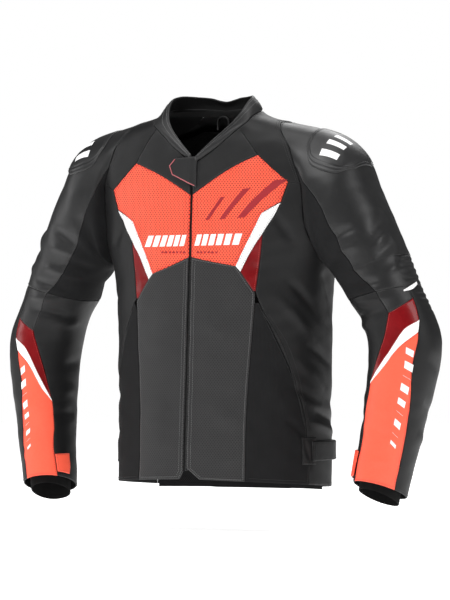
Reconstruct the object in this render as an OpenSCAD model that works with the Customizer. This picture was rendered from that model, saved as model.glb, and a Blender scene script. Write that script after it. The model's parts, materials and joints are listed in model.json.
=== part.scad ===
// Leather riding jacket, size 50 to 52, all lengths in mm.
// +X is the wearer's left, -Y is the front, +Z is up. The origin is the top of the hanger loop.

/* [Body] */
// Half width of the body at the hem
hem_half = 203; // [185:1:215]
// Half width at the armholes
chest_half = 214; // [205:1:225]
// Half width across the shoulder blades
shoulder_half = 280; // [270:1:290]
// Depth from the side seam to the back
back_depth = 112; // [100:1:120]
// Lean of the front zip, forward per mm of height
zip_lean = 0.048; // [0.03:0.002:0.06]
// How much lower the front seams hang on the wearer's right
right_drop = 14; // [0:1:20]

/* [Sleeves] */
// Front to back half depth at the armhole
arm_depth = 92; // [84:1:96]
// Front to back half depth at the cuff
cuff_depth = 52; // [46:1:56]
// How far the cuff hangs forward of the shoulder
arm_forward = 38; // [20:1:45]

/* [Leather] */
// Thickness of the leather
leather = 2.4; // [1.2:0.1:2.6]
// Depth of the lining under the outer face
lining_at = 12.5; // [11.5:0.1:14]
// Thickness of the lining
lining = 1.3; // [1:0.1:2]
// Half of the gap left at each seam
seam = 0.45; // [0.3:0.05:0.8]

/* [Collar] */
// Half width of the collar rim
rim_x = 79; // [70:1:86]
// Half depth of the collar rim
rim_y = 62; // [54:1:68]

/* [Zip] */
// Half of the slot over the front zip
slot = 2.5; // [2.2:0.1:3]
// Pitch of the zip teeth
tooth = 5; // [3:0.5:8]
// Travel of the zip slider
zip_travel = 505; // [300:5:515]

/* [Hidden] */
zip_x = -5;
zip_top = 580;
zip_foot = 34;
loop_y = 3;
loop_z = 668;

// Body stations up from the hem: height, half width, front line, back depth, squareness, middle.
function front_line(z) = -106 - zip_lean * (592 - z);
BODY = [for (s = [[-10, hem_half + 1, 0, back_depth - 6, 2.35, 13], [60, hem_half, 0, back_depth - 6,
    2.35, 13],
    [160, hem_half - 1, 0, back_depth - 6, 2.35, 13], [260, hem_half, 0, back_depth - 5, 2.35, 13],
    [340, chest_half - 8, 0, back_depth - 3, 2.35, 11], [398, chest_half, 0, back_depth - 1, 2.3, 9],
    [460, 236, 0, back_depth + 1, 2.3, 5], [520, 262, 0, back_depth, 2.2, 2],
    [570, shoulder_half, 0, back_depth - 7, 2.1, 0], [600, 276, 0, 98, 2, -2], [620, 252, 0, 90, 2, -5],
    [637, 214, 0, 80, 2, -9], [652, 160, 3, 66, 2, -16], [668, 104, 5, 50, 2, -24],
    [690, 88, 3, 44, 2, -32], [730, 82, 0, 40, 2, -40]]) s];
// Sleeve stations down the arm: inner x and z, outer x and z, half depth, middle y, lift.
SLEEVE = [[1, 219, 401.5, 205, 642, arm_depth, -2, 0], [2, 220, 400, 250, 626, arm_depth, -4, 0],
    [3, 221.5, 398.5, 285, 597, arm_depth - 2, -6, 0], [4, 223, 397, 308, 551, arm_depth - 5, -7, 0],
    [5, 226, 394, 331, 507, arm_depth - 9, -7, 0], [6, 234, 386, 352, 464, 79, -6, 0],
    [7, 249, 366, 372, 420, 75, -3, 0], [8, 268, 334, 394, 365, 71, 0, 0],
    [9, 287, 300, 415, 317, 68, 4, 2], [10, 297, 263, 431, 272, 68, 2, 4],
    [11, 301, 222, 430, 222, 66, 33 - arm_forward, 7], [12, 301, 176, 421, 172, 62, 24 - arm_forward, 9],
    [13, 298, 130, 410, 122, 58, 16 - arm_forward, 11],
    [14, 294, 80, 400, 70, cuff_depth + 3, 7 - arm_forward, 13],
    [15, 288, 30, 389, 18, cuff_depth + 1, -arm_forward, 15],
    [16, 284, -8, 382, -24, cuff_depth - 1, -5 - arm_forward, 17]];
// Armhole seam across the shoulder: height and distance from the middle.
ARMHOLE = [[402, 218], [420, 212], [470, 201], [540, 200], [608, 178], [635, 160], [655, 143]];
// Neck seam on the body and collar rim: angle from the front and height.
NECK = [[0, 581], [14, 597], [26, 613], [36, 630], [45, 644], [60, 661], [75, 670], [90, 675], [120, 677], [180, 674]];
RIM = [[0, 592], [12, 608], [25, 625], [45, 648], [65, 672], [85, 694], [110, 704], [145, 703], [180, 700]];

function clamp(x) = max(0, min(1, x));
function mix(a, b, t) = a + (b - a) * t;
function step(T, x, i = 0) = i < len(T) - 2 && T[i + 1][0] <= x ? step(T, x, i + 1) : i;
function line(T, x) = let (i = step(T, x)) mix(T[i][1], T[i + 1][1],
    clamp((x - T[i][0]) / (T[i + 1][0] - T[i][0])));
function slope(T, i) = let (a = max(0, i - 1), b = min(len(T) - 1,
    i + 1)) (T[b] - T[a]) / (T[b][0] - T[a][0]);
function curve(T, x) = let (i = step(T, x), h = T[i + 1][0] - T[i][0], t = clamp((x - T[i][0]) / h))
    (2 * t * t * t - 3 * t * t + 1) * T[i] + (t * t * t - 2 * t * t + t) * h * slope(T, i)
    + (3 * t * t - 2 * t * t * t) * T[i + 1] + (t * t * t - t * t) * h * slope(T, i + 1);

// Puts the origin at the top of the hanger loop.
module home() translate([0, -loop_y, -loop_z]) children();
// Point of the body's outer face at an angle from the front and a height.
function body_point(a, z) = let (q = curve(BODY, z), n = q[4], c = cos(a),
    b = c > 0 ? q[5] - front_line(z) + q[2] : q[3],
    r = pow(pow(abs(sin(a)) / q[1], n) + pow(abs(c) / b, n), -1 / n)) [r * sin(a), q[5] - r * c, z];
// Angle at which the armhole seam crosses a height, on the front or back of the body.
function hole_angle(z, front = true) = let (q = curve(BODY, z), u = clamp(line(ARMHOLE, z) / q[1]),
    b = front ? q[5] - front_line(z) + q[2] : q[3])
    atan2(line(ARMHOLE, z), (front ? 1 : -1) * b * pow(1 - pow(u, q[4]), 1 / q[4]));
function hole_point(a) = let (z = 528.5 + 126.5 * cos(a)) body_point(hole_angle(z, sin(a) >= 0), z);
function ring_point(q, a) = let (c = cos(a), s = sin(a), r = pow(pow(abs(c), 2.15) + pow(abs(s), 2.15),
    -1 / 2.15))
    [(q[1] + q[3]) / 2 + (q[3] - q[1]) / 2 * r * c, q[6] - q[5] * r * s,
     (q[2] + q[4]) / 2 + (q[4] - q[2]) / 2 * r * c + q[7] * r * s];
// Point of the left sleeve's outer face: angle from the outer side over the front, station down the arm.
function arm_point(a, s) = s >= 1 ? ring_point(curve(SLEEVE, s), a)
    : mix(hole_point(a), ring_point(SLEEVE[0], a), max(0, s));
function around(a) = let (b = (a % 360 + 360) % 360) b > 180 ? 360 - b : b;
// Point of the collar: angle from the front and height from the neck seam (0) to the rim (1).
function collar_point(a, h) = let (low = body_point(a, line(NECK, around(a))), z = line(RIM, around(a)),
    top = [rim_x * sin(a), -45 - rim_y * cos(a), z], bow = 5 * sin(180 * h))
    mix(low, top, h) + bow * [sin(a), -cos(a), 0];
// Faces of the jacket: 0 body, 1 left sleeve, 2 right sleeve, 3 collar.
function face_point(m, u, v) = m == 0 ? body_point(u, v) : m == 3 ? collar_point(u, v)
    : let (p = arm_point(u, v)) m == 1 ? p : [-p[0], p[1], p[2]];
function unit(v) = v / max(norm(v), 1e-9);
function face_out(m, u, v) = let (e = m == 0 ? 1 : 0.04)
    (m == 2 ? -1 : 1) * unit(cross(face_point(m, u + 0.5, v) - face_point(m, u - 0.5, v),
                                   face_point(m, u, v + e) - face_point(m, u, v - e)));
function skin(m, u, v, depth) = face_point(m, u, v) - depth * face_out(m, u, v);
function seam_share(m, a, b, g) = min(0.42, g / max(0.01, norm(face_point(m, a[0],
    a[1]) - face_point(m, b[0], b[1]))));
function fill(rows, n) = [for (j = [0 : len(rows) - 2], k = [0 : n - 1]) mix(rows[j], rows[j + 1],
    k / n), rows[len(rows) - 1]];
function trimmed(m, rows, g) = let (e = len(rows) - 1,
    a = seam_share(m, [rows[0][0] + rows[0][2], rows[0][1] + rows[0][3]] / 2, [rows[1][0] + rows[1][2],
    rows[1][1] + rows[1][3]] / 2, g),
    b = seam_share(m, [rows[e][0] + rows[e][2], rows[e][1] + rows[e][3]] / 2,
    [rows[e - 1][0] + rows[e - 1][2], rows[e - 1][1] + rows[e - 1][3]] / 2, g))
    [for (j = [0 : e]) j == 0 ? mix(rows[0], rows[1], a) : j == e ? mix(rows[e], rows[e - 1], b) : rows[j]];

// Sewn panel between a left and a right seam line, each row [left u, v, right u, v].
module panel(m, rows, across, between, top = 0, bottom = leather, gap = seam) {
    R = trimmed(m, fill(rows, between), gap);
    nr = len(R) - 1;
    cells = [for (r = R) let (s = seam_share(m, [r[0], r[1]], [r[2], r[3]], gap))
        for (i = [0 : across]) let (t = s + (1 - 2 * s) * i / across)
        [mix(r[0], r[2], t), mix(r[1], r[3], t)]];
    k = across + 1;
    n = len(cells);
    mid = floor(nr / 2);
    turn = (R[mid][2] - R[mid][0]) * (R[mid + 1][1] + R[mid + 1][3] - R[mid][1] - R[mid][3])
         - (R[mid][3] - R[mid][1]) * (R[mid + 1][0] + R[mid + 1][2] - R[mid][0] - R[mid][2]);
    keep = (turn > 0) != (m == 2);
    outer = [for (j = [0 : nr - 1], i = [0 : across - 1]) let (q = j * k + i) each
        [[q, q + k, q + k + 1], [q, q + k + 1, q + 1]]];
    inner = [for (f = outer) [f[2] + n, f[1] + n, f[0] + n]];
    rim = concat([for (i = [0 : across - 1]) [i, i + 1]],
        [for (j = [0 : nr - 1]) [j * k + across, (j + 1) * k + across]],
        [for (i = [across : -1 : 1]) [nr * k + i, nr * k + i - 1]],
        [for (j = [nr : -1 : 1]) [j * k, (j - 1) * k]]);
    wall = [for (e = rim) each [[e[0], e[1], e[1] + n], [e[0], e[1] + n, e[0] + n]]];
    faces = concat(outer, inner, wall);
    polyhedron(points = concat([for (c = cells) skin(m, c[0], c[1], top)], [for (c = cells) skin(m,
    c[0], c[1], bottom)]),
        faces = keep ? faces : [for (f = faces) [f[2], f[1], f[0]]]);
}
// A point of the front pattern, on the wearer's left (w 0) or lower on the right (w 1).
function mark(w, a, z) = w == 0 ? [a, z] : [-a, z - right_drop * clamp((z - 20) / 200)];
function zip_edge(w, z) = [atan2(zip_x + (w == 0 ? slot : -slot), 118), z];
function hem(a) = 9 + 9 * cos(a);
function hem_mark(w, a) = [w == 0 ? a : -a, hem(a)];
function armhole(w, z, front = true) = [(w == 0 ? 1 : -1) * hole_angle(z, front), z];
function plain(w, a, z) = [w == 0 ? a : -a, z];

module front_panel(w) { color([0.13, 0.13, 0.14]) panel(0, [
    concat(zip_edge(w, hem(0)), hem_mark(w, 38)), concat(zip_edge(w, 118), mark(w, 39, 118)),
    concat(zip_edge(w, 200), mark(w, 41, 200)), concat(zip_edge(w, 270), mark(w, 43.5, 270)),
    concat(zip_edge(w, 335), mark(w, 46, 333)), concat(zip_edge(w, 362), mark(w, 46.5, 350)),
    concat(zip_edge(w, 392), mark(w, 38.5, 388)), concat(zip_edge(w, 414), mark(w, 35.5, 398))], 8, 2); }
module chest_panel(w) { color([1, 0.35, 0.25]) panel(0, [
    concat(zip_edge(w, 414), mark(w, 35.5, 398)), concat(zip_edge(w, 440), mark(w, 41.5, 430)),
    concat(zip_edge(w, 462), mark(w, 47, 461)), concat(zip_edge(w, 482), mark(w, 52, 492)),
    concat(zip_edge(w, 498), mark(w, 61, 513)), concat(zip_edge(w, 510), mark(w, 64, 548)),
    concat(zip_edge(w, 525), mark(w, 52.5, 596))], 8, 2); }
module chest_stripe(w) { panel(0, [
    concat(mark(w, 35.5, 398), mark(w, 38.5, 388)), concat(mark(w, 41.5, 430), mark(w, 45, 422)),
    concat(mark(w, 47, 461), mark(w, 52, 456)), concat(mark(w, 52, 492), mark(w, 57.5, 486)),
    concat(mark(w, 60.5, 510), mark(w, 61, 511.5))], 3, 2); }
module chest_wedge(w) { panel(0, [
    concat(mark(w, 45.5, 354), mark(w, 46.7, 353)), concat(mark(w, 38.5, 388), mark(w, 49, 388)),
    concat(mark(w, 45, 422), mark(w, 50.8, 422)), concat(mark(w, 51.4, 453), mark(w, 52, 454))], 3, 2); }
module chest_stripes() { color([0.95, 0.95, 0.95]) for (w = [0, 1]) chest_stripe(w); }
module chest_wedges() { color([0.45, 0.02, 0.05]) for (w = [0, 1]) chest_wedge(w); }
module front_yoke(w) { color([0.12, 0.12, 0.13]) panel(0, [
    concat(zip_edge(w, 525), zip_edge(w, 581)), concat(mix(zip_edge(w, 525), mark(w, 52.5, 596), 0.34),
    plain(w, 20, 605)),
    concat(mix(zip_edge(w, 525), mark(w, 52.5, 596), 0.67), plain(w, 35, 628.4)),
    concat(mark(w, 52.5, 596), plain(w, 45, 644))], 5, 3, gap = 0.6); }
module side_front(w) { color([0.1, 0.1, 0.1]) panel(0, [
    concat(hem_mark(w, 38), hem_mark(w, 74.3)), concat(mark(w, 39, 118), plain(w, 73, 118)),
    concat(mark(w, 41, 200), plain(w, 65.5, 200)), concat(mark(w, 43.5, 270), plain(w, 56.5, 270)),
    concat(mark(w, 46, 333), plain(w, 48.5, 333))], 5, 3); }
module side_panel(w) { color([0.06, 0.06, 0.06]) panel(0, [
    concat(hem_mark(w, 74.3), hem_mark(w, 108)), concat(plain(w, 73, 118), plain(w, 108, 118)),
    concat(plain(w, 65.5, 200), plain(w, 108, 190)), concat(plain(w, 56.5, 270), plain(w, 108, 235)),
    concat(plain(w, 48.5, 333), plain(w, 108, 290)), concat(mark(w, 46.7, 353), plain(w, 106, 330)),
    concat(mark(w, 49, 388), plain(w, 101, 372)), concat(mark(w, 50.8, 422), plain(w, 96, 396)),
    concat(mark(w, 52, 455), plain(w, 90, 402)), concat(mark(w, 54.5, 470), armhole(w, 420)),
    concat(mark(w, 57.5, 486), armhole(w, 460)), concat(mark(w, 61, 512), armhole(w, 500)),
    concat(mark(w, 64, 548), armhole(w, 545))], 6, 2, gap = 0.8); }
module shoulder_panel(w) { color([0.12, 0.12, 0.13]) panel(0, [
    concat(mark(w, 64, 548), armhole(w, 545)), concat(mark(w, 52.5, 596), armhole(w, 585)),
    concat(plain(w, 45, 644), armhole(w, 615)), concat(plain(w, 60, 661), armhole(w, 640)),
    concat(plain(w, 75, 670), armhole(w, 654.5)), concat(plain(w, 90, 675), armhole(w, 654.5, false)),
    concat(plain(w, 110, 676.5), armhole(w, 640, false)), concat(plain(w, 135, 676.3), armhole(w, 612,
    false))], 5, 3, gap = 1.3); }
module side_back(w) { color([0.1, 0.1, 0.1]) panel(0, [
    concat(hem_mark(w, 108), hem_mark(w, 142)), concat(plain(w, 108, 118), plain(w, 142, 118)),
    concat(plain(w, 108, 235), plain(w, 142, 235)), concat(plain(w, 108, 290), plain(w, 142, 285)),
    concat(plain(w, 106, 330), plain(w, 142, 330)), concat(plain(w, 101, 372), plain(w, 142, 365)),
    concat(plain(w, 96, 396), plain(w, 142, 392)),
    concat(plain(w, 90, 402), plain(w, 142, 410)),
    concat(armhole(w, 430, false), plain(w, 142, 440)), concat(armhole(w, 465, false), plain(w, 142, 470)),
    concat(armhole(w, 500, false), plain(w, 142, 500))], 4, 2, gap = 0.8); }
module back_panel() { color([0.1, 0.1, 0.11]) panel(0, [
    [142, 1, 218, 1], [142, 118, 218, 118], [142, 235, 218, 235], [142, 330, 218, 330],
    [142, 440, 218, 440], [142, 500, 218, 500]], 8, 2); }
module back_yoke() { color([0.12, 0.12, 0.13]) panel(0, [
    [hole_angle(500, false), 500, 360 - hole_angle(500, false), 500],
    [hole_angle(560, false), 560, 360 - hole_angle(560, false), 560],
    [hole_angle(612, false), 612, 360 - hole_angle(612, false), 612],
    [135, 676.3, 225, 676.3]], 12, 3, gap = 0.9); }
module lining_front(w) { color([0.2, 0.2, 0.21]) panel(0, [
    concat(zip_edge(w, 30) + [w == 0 ? 9 : -9, 0], plain(w, 106, 22)), concat(zip_edge(w,
    200) + [w == 0 ? 9 : -9, 0], plain(w, 106, 200)),
    concat(zip_edge(w, 330) + [w == 0 ? 9 : -9, 0], plain(w, 104, 330)), concat(zip_edge(w,
    410) + [w == 0 ? 9 : -9, 0], plain(w, 90, 392)),
    concat(zip_edge(w, 470) + [w == 0 ? 9 : -9, 0], armhole(w, 450) * 0.96), concat(zip_edge(w,
    530) + [w == 0 ? 9 : -9, 0], armhole(w, 530) * 0.96),
    concat(zip_edge(w, 560) + [w == 0 ? 9 : -9, 0], armhole(w, 600) * 0.96), concat(plain(w, 45, 606),
    armhole(w, 632) * 0.97)],
    9, 2, lining_at, lining_at + lining); }
module lining_back() { color([0.2, 0.2, 0.21]) panel(0, [
    [108, 22, 252, 22], [108, 200, 252, 200], [107, 330, 253, 330], [100, 392, 260, 392],
    [108, 460, 252, 460], [113, 520, 247, 520], [113, 580, 247, 580], [118, 625, 242, 625], [135, 650,
    225, 650]],
    12, 1, lining_at, lining_at + lining); }
module collar_band() { color([0.13, 0.13, 0.14]) panel(3, [[1, 0.05, 355, 0.05], [1, 0.5, 355, 0.5],
    [1, 1, 355, 1]], 32, 1); }
module collar_lining() { color([0.04, 0.04, 0.04]) panel(3, [[8, 0.12, 350, 0.12], [8, 0.97, 350,
    0.97]], 28, 2, 4.6, 6.4); }
module hanger_loop() { color([0.1, 0.1, 0.1]) translate([0, loop_y, loop_z - 12]) difference() {
    union() {
        intersection() {
            rotate([90, 0, 0]) cylinder(h = 5, r = 12, center = true, $fn = 48);
            translate([0, 0, 10]) cube([30, 8, 20], center = true);
        }
        translate([-12, -2.5, -14]) cube([24, 5, 14.5]);
    }
    rotate([90, 0, 0]) cylinder(h = 9, r = 10, center = true, $fn = 48);
    translate([-10, -4, -11]) cube([20, 8, 11]);
} }
// Frame of the front zip: origin at its top on the leather, -Z down the zip, -Y outward.
module at_zip() translate([zip_x, front_line(zip_top), zip_top]) rotate([-atan(zip_lean), 0, 0]) children();
function comb(n, side) = concat([[side * 4, 0]], [for (i = [0 : n - 1]) each
    [[side * 2.6, -i * tooth], [side * 0.95, -i * tooth - 0.4], [side * 0.95, -i * tooth - tooth / 2 + 0.4],
     [side * 2.6, -i * tooth - tooth / 2]]], [[side * 4, -n * tooth]]);
module main_zip() { color([0.05, 0.05, 0.05]) at_zip() for (side = [-1, 1]) {
    n = floor((zip_top - zip_foot) / tooth);
    translate([0, 5.1 + 2.2, -3]) rotate([90, 0, 0]) linear_extrude(2.2) polygon(comb(n, side));
    translate([side > 0 ? 3.5 : -15.5, 5.8, -3 - n * tooth]) cube([12, 0.8, n * tooth]);
} }
module back_protector() { color([0.25, 0.25, 0.27]) panel(0, [[152, 190, 208, 190], [148, 300, 212, 300],
    [148, 430, 212, 430], [146, 520, 214, 520], [152, 590, 208, 590]], 6, 1, 3.8, 10.8); }
module sleeve_head(m) { color([0.13, 0.13, 0.14]) panel(m, [[-80, 0.07, 68, 0.07], [-80, 1, 77, 1],
    [-80, 2, 86, 2],
    [-80, 3, 91, 3], [-80, 4, 92, 4], [-80, 4.97, 92, 4.97]], 10, 2); }
module armhole_stretch(m) { color([0.05, 0.05, 0.05]) panel(m, [[68, 0.07, 280, 0.07], [77, 1, 280, 1],
    [86, 2, 280, 2],
    [91, 3, 280, 3], [92, 4.97, 280, 4.97]], 10, 2); }
module shoulder_armour() { color([0.3, 0.3, 0.32]) for (m = [1, 2])
    panel(m, [[-26, 2.3, 32, 2.3], [-38, 3, 42, 3], [-40, 3.7, 44, 3.7], [-28, 4.5, 34, 4.5]], 8, 2,
    4.4, 11.4); }
module shoulder_cap(m) { color([0.16, 0.16, 0.17]) panel(m, [[-34, 0.95, 44, 0.95], [-50, 1.35, 60,
    1.35], [-52, 2.2, 60, 2.2],
    [-38, 3.0, 50, 3.0], [-16, 3.45, 24, 3.45]], 8, 2, -5, -1.3); }
// Where the pattern of one forearm lies: turned and lower on the wearer's right.
function fore(m, a, s) = m == 1 ? [a, s] : [0.76 * a + 38, s + 0.85 * clamp((15.5 - s) / 3.5)];
function back_turn(p) = [p[0] - 360, p[1]];
module upper_sleeve(m) { color([0.13, 0.13, 0.14]) panel(m, [[-80, 5.03, 92, 5.03], [-80, 6.5, 96,
    6.5], [-80, 7.97, 86, 7.97]], 10, 3); }
module inner_sleeve(m) { color([0.05, 0.05, 0.05]) panel(m, [[92, 5.03, 280, 5.03], [96, 6.5, 280,
    6.5], [86, 7.97, 280, 7.97]], 10, 3); }
module upper_lining(m) { color([0.2, 0.2, 0.21]) panel(m, [[-175, 5.12, 184, 5.12], [-175, 6.5, 184, 6.5],
    [-175, 7.85, 184, 7.85]], 18, 1, lining_at, lining_at + lining); }
module elbow_armour(m) { color([0.3, 0.3, 0.32]) panel(m, [[-85, 8.25, 5, 8.25], [-100, 8.8, 15, 8.8],
    [-100, 9.8, 15, 9.8],
    [-85, 11, 0, 11]], 8, 1, 4.4, 10.2); }
module forearm_under(m) { color([0.08, 0.08, 0.08]) {
    panel(m, [concat(back_turn(fore(m, 75, 8.03)), fore(m, 22, 8.03)) + [0, m == 1 ? 0 : -0.85, 0,
    m == 1 ? 0 : -0.85],
        concat(back_turn(fore(m, 75, 8.93)), fore(m, 22, 8.44)), concat(back_turn(fore(m, 90, 9.6)),
        fore(m, 30, 9.3)),
        concat(back_turn(fore(m, 110, 10.7)), fore(m, 40, 9.81)), concat(back_turn(fore(m, 125,
        11.84)), fore(m, 48, 11.1)),
        concat(back_turn(fore(m, 129, 13)), fore(m, 36, 12.7)), concat(back_turn(fore(m, 125, 14.1)),
        fore(m, 30, 14.1)),
        concat(back_turn(fore(m, 131, 15.55)), fore(m, 28, 15.55))], 14, 2);
    } }
module forearm_wedge(m) { color([0.45, 0.02, 0.05]) panel(m, [
    [fore(m, 75, 8)[0], 8.03, fore(m, 22, 8)[0], 8.03],
    concat(fore(m, 75, 8.93), fore(m, 22, 8.44)), concat(fore(m, 90, 9.6), fore(m, 30, 9.3)),
    concat(fore(m, 106, 10.5), fore(m, 62, 9.7)), concat(fore(m, 118, 11.3), fore(m, 95, 10.8)),
    concat(fore(m, 124, 11.78), fore(m, 122, 11.7))], 5, 2); }
module forearm_stripe(m) { color([0.95, 0.95, 0.95]) panel(m, [
    concat(fore(m, 30, 9.3), fore(m, 40, 9.81)), concat(fore(m, 62, 9.7), fore(m, 72, 10.4)),
    concat(fore(m, 95, 10.8), fore(m, 100, 11.3)), concat(fore(m, 123, 11.74), fore(m, 125, 11.84))],
    3, 3); }
module forearm_panel(m) { color([1, 0.33, 0.22]) panel(m, [
    concat(fore(m, 125, 11.84), fore(m, 100, 11.3)), concat(fore(m, 127, 12.2), fore(m, 72, 10.4)),
    concat(fore(m, 129, 13), fore(m, 40, 9.81)), concat(fore(m, 127, 13.5), fore(m, 48, 11.1)),
    concat(fore(m, 125, 14.1), fore(m, 36, 12.7)), concat(fore(m, 128, 14.8), fore(m, 30, 14.1)),
    concat(fore(m, 131, 15.55), fore(m, 28, 15.55))], 7, 2); }
module forearm_lining(m) { color([0.05, 0.05, 0.05]) panel(m, [[-175, 8.15, 184, 8.15], [-175, 10, 184,
    10], [-175, 13, 184, 13],
    [-175, 15.9, 184, 15.9]], 16, 2, lining_at, lining_at + lining); }
// Zip slider: two plates round the teeth, a web between them and a lug through the slot.
module zip_slider() { color([0.3, 0.3, 0.3]) at_zip() difference() {
    union() {
        translate([-5, 3, -16]) cube([10, 1.5, 16]);
        translate([-5, 7.9, -16]) cube([10, 1.4, 16]);
        translate([-0.45, 3, -16]) cube([0.9, 6, 16]);
        translate([-1.5, -4.9, -11]) cube([3, 8.3, 5]);
    }
    translate([0, -3.3, -8.5]) rotate([0, 90, 0]) cylinder(h = 12, r = 0.95, center = true, $fn = 32);
} }
module zip_pull() { color([0.12, 0.12, 0.12]) at_zip() translate([0, -3.3, -8.5]) {
    rotate([0, 90, 0]) cylinder(h = 6.4, r = 0.6, center = true, $fn = 32);
    for (side = [-1, 1]) translate([side > 0 ? 2 : -3.2, -1.1, -6]) cube([1.2, 1.7, 6.8]);
    translate([-3.2, -1.1, -18]) cube([6.4, 1.7, 12.5]);
} }
module collar_tab() { color([0.15, 0.15, 0.16]) panel(0, [[-21, 561, 3.2, 538], [-24.5, 577, 3.2, 570],
    [-19, 590, 3.2, 594]],
    5, 3, -10.4, -8.2); }
module waist_strap(w) { color([0.12, 0.12, 0.12]) panel(0, [
    concat(plain(w, 76, 50), plain(w, 110, 52)), concat(plain(w, 76, 66), plain(w, 112.5, 66)),
    concat(plain(w, 76, 86), plain(w, 112, 86))], 6, 1, -4.6, -2.2); }
// Hook-and-loop tab that closes the cuff.
module cuff_tab(m) { color([0.85, 0.25, 0.18]) panel(m, [
    concat(fore(m, 126, 14.35), fore(m, 168, 14.2)), concat(fore(m, 128, 14.8), fore(m, 170, 14.8)),
    concat(fore(m, 130, 15.3), fore(m, 166, 15.3))], 5, 1, -4.4, -2); }

home() front_panel(0);  // front_panel_left
home() front_panel(1);  // front_panel_right
home() chest_panel(0);  // chest_panel_left
home() chest_panel(1);  // chest_panel_right
home() chest_stripes();
home() chest_wedges();
home() front_yoke(0);  // front_yoke_left
home() front_yoke(1);  // front_yoke_right
home() side_front(0);  // side_front_left
home() side_front(1);  // side_front_right
home() side_panel(0);  // side_panel_left
home() side_panel(1);  // side_panel_right
home() shoulder_panel(0);  // shoulder_panel_left
home() shoulder_panel(1);  // shoulder_panel_right
home() side_back(0);  // side_back_left
home() side_back(1);  // side_back_right
home() back_panel();
home() back_yoke();
home() lining_front(0);  // lining_front_left
home() lining_front(1);  // lining_front_right
home() lining_back();
home() collar_band();
home() collar_lining();
home() hanger_loop();
home() main_zip();
home() back_protector();
home() sleeve_head(1);  // sleeve_head_left
home() sleeve_head(2);  // sleeve_head_right
home() armhole_stretch(1);  // armhole_stretch_left
home() armhole_stretch(2);  // armhole_stretch_right
home() shoulder_armour();
home() shoulder_cap(1);  // shoulder_cap_left
home() shoulder_cap(2);  // shoulder_cap_right
home() zip_slider();
home() zip_pull();
home() collar_tab();
home() waist_strap(0);  // waist_strap_left
home() waist_strap(1);  // waist_strap_right
home() upper_sleeve(1);  // upper_sleeve_left
home() upper_sleeve(2);  // upper_sleeve_right
home() inner_sleeve(1);  // inner_sleeve_left
home() inner_sleeve(2);  // inner_sleeve_right
home() upper_lining(1);  // upper_lining_left
home() upper_lining(2);  // upper_lining_right
home() elbow_armour(1);  // elbow_armour_left
home() elbow_armour(2);  // elbow_armour_right
home() forearm_under(1);  // forearm_under_left
home() forearm_under(2);  // forearm_under_right
home() forearm_wedge(1);  // forearm_wedge_left
home() forearm_wedge(2);  // forearm_wedge_right
home() forearm_stripe(1);  // forearm_stripe_left
home() forearm_stripe(2);  // forearm_stripe_right
home() forearm_panel(1);  // forearm_panel_left
home() forearm_panel(2);  // forearm_panel_right
home() forearm_lining(1);  // forearm_lining_left
home() forearm_lining(2);  // forearm_lining_right
home() cuff_tab(1);  // cuff_tab_left
home() cuff_tab(2);  // cuff_tab_right
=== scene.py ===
# Leather riding jacket: every visible surface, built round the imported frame. Metres in the meshes, mm in the shapes.
import bpy
import json
import math
import numpy as np
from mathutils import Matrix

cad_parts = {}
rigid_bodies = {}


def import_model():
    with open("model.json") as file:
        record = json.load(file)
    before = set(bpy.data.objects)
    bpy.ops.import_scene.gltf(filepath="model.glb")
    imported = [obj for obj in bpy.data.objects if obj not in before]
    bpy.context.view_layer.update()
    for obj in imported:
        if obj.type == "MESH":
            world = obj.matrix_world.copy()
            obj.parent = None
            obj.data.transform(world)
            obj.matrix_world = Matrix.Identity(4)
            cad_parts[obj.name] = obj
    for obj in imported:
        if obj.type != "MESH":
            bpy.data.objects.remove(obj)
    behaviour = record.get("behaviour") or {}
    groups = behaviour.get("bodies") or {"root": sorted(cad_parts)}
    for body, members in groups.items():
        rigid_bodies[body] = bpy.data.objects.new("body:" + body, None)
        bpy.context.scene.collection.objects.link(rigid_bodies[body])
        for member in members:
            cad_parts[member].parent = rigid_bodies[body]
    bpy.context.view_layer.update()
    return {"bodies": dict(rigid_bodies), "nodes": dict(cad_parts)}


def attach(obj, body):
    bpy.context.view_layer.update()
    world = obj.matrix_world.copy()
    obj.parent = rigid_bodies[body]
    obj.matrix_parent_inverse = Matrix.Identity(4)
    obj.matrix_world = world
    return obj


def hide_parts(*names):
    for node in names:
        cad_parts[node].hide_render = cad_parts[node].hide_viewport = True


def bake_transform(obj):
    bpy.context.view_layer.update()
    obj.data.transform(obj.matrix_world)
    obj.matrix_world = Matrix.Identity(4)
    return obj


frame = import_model()
home = np.array([0.0, 3.0, 668.0])  # top of the hanger loop, in mm up from the back hem
print("frame loaded")

# camera
view = {"turn": 28.0, "rise": 0.5, "distance": 12.0, "target": (0.00397, -0.00089, -0.3314), "lens": 400.0}


def placeCamera(values):
    # the camera stands on a circle round the target, turned from the front towards +X
    turn, rise = math.radians(values["turn"]), math.radians(values["rise"])
    ahead = np.array([-math.sin(turn) * math.cos(rise), math.cos(turn) * math.cos(rise), -math.sin(rise)])
    data = bpy.data.cameras.new("viewCamera")
    data.sensor_width, data.sensor_height, data.lens = 36.0, 36.0, values["lens"]
    data.sensor_fit, data.clip_end = "AUTO", 60.0
    camera = bpy.data.objects.new("viewCamera", data)
    bpy.context.scene.collection.objects.link(camera)
    camera.location = np.array(values["target"]) - ahead * values["distance"]
    camera.rotation_euler = (math.pi / 2 - rise, 0.0, turn)
    bpy.context.scene.camera = camera


placeCamera(view)

# the jacket's own surfaces
shape = {"zipDepth": 106, "zipTop": 592, "holeMiddle": 528.5, "holeHalf": 126.5, "rimMiddle": -45, "collarBow": 5,
         "zipLean": 0.048, "zipMiddle": -5.0, "slot": 2.5, "rightDrop": 14.0,
         "rimHalfWidth": 79.0, "rimHalfDepth": 62.0, "backDip": 5.0}
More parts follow.
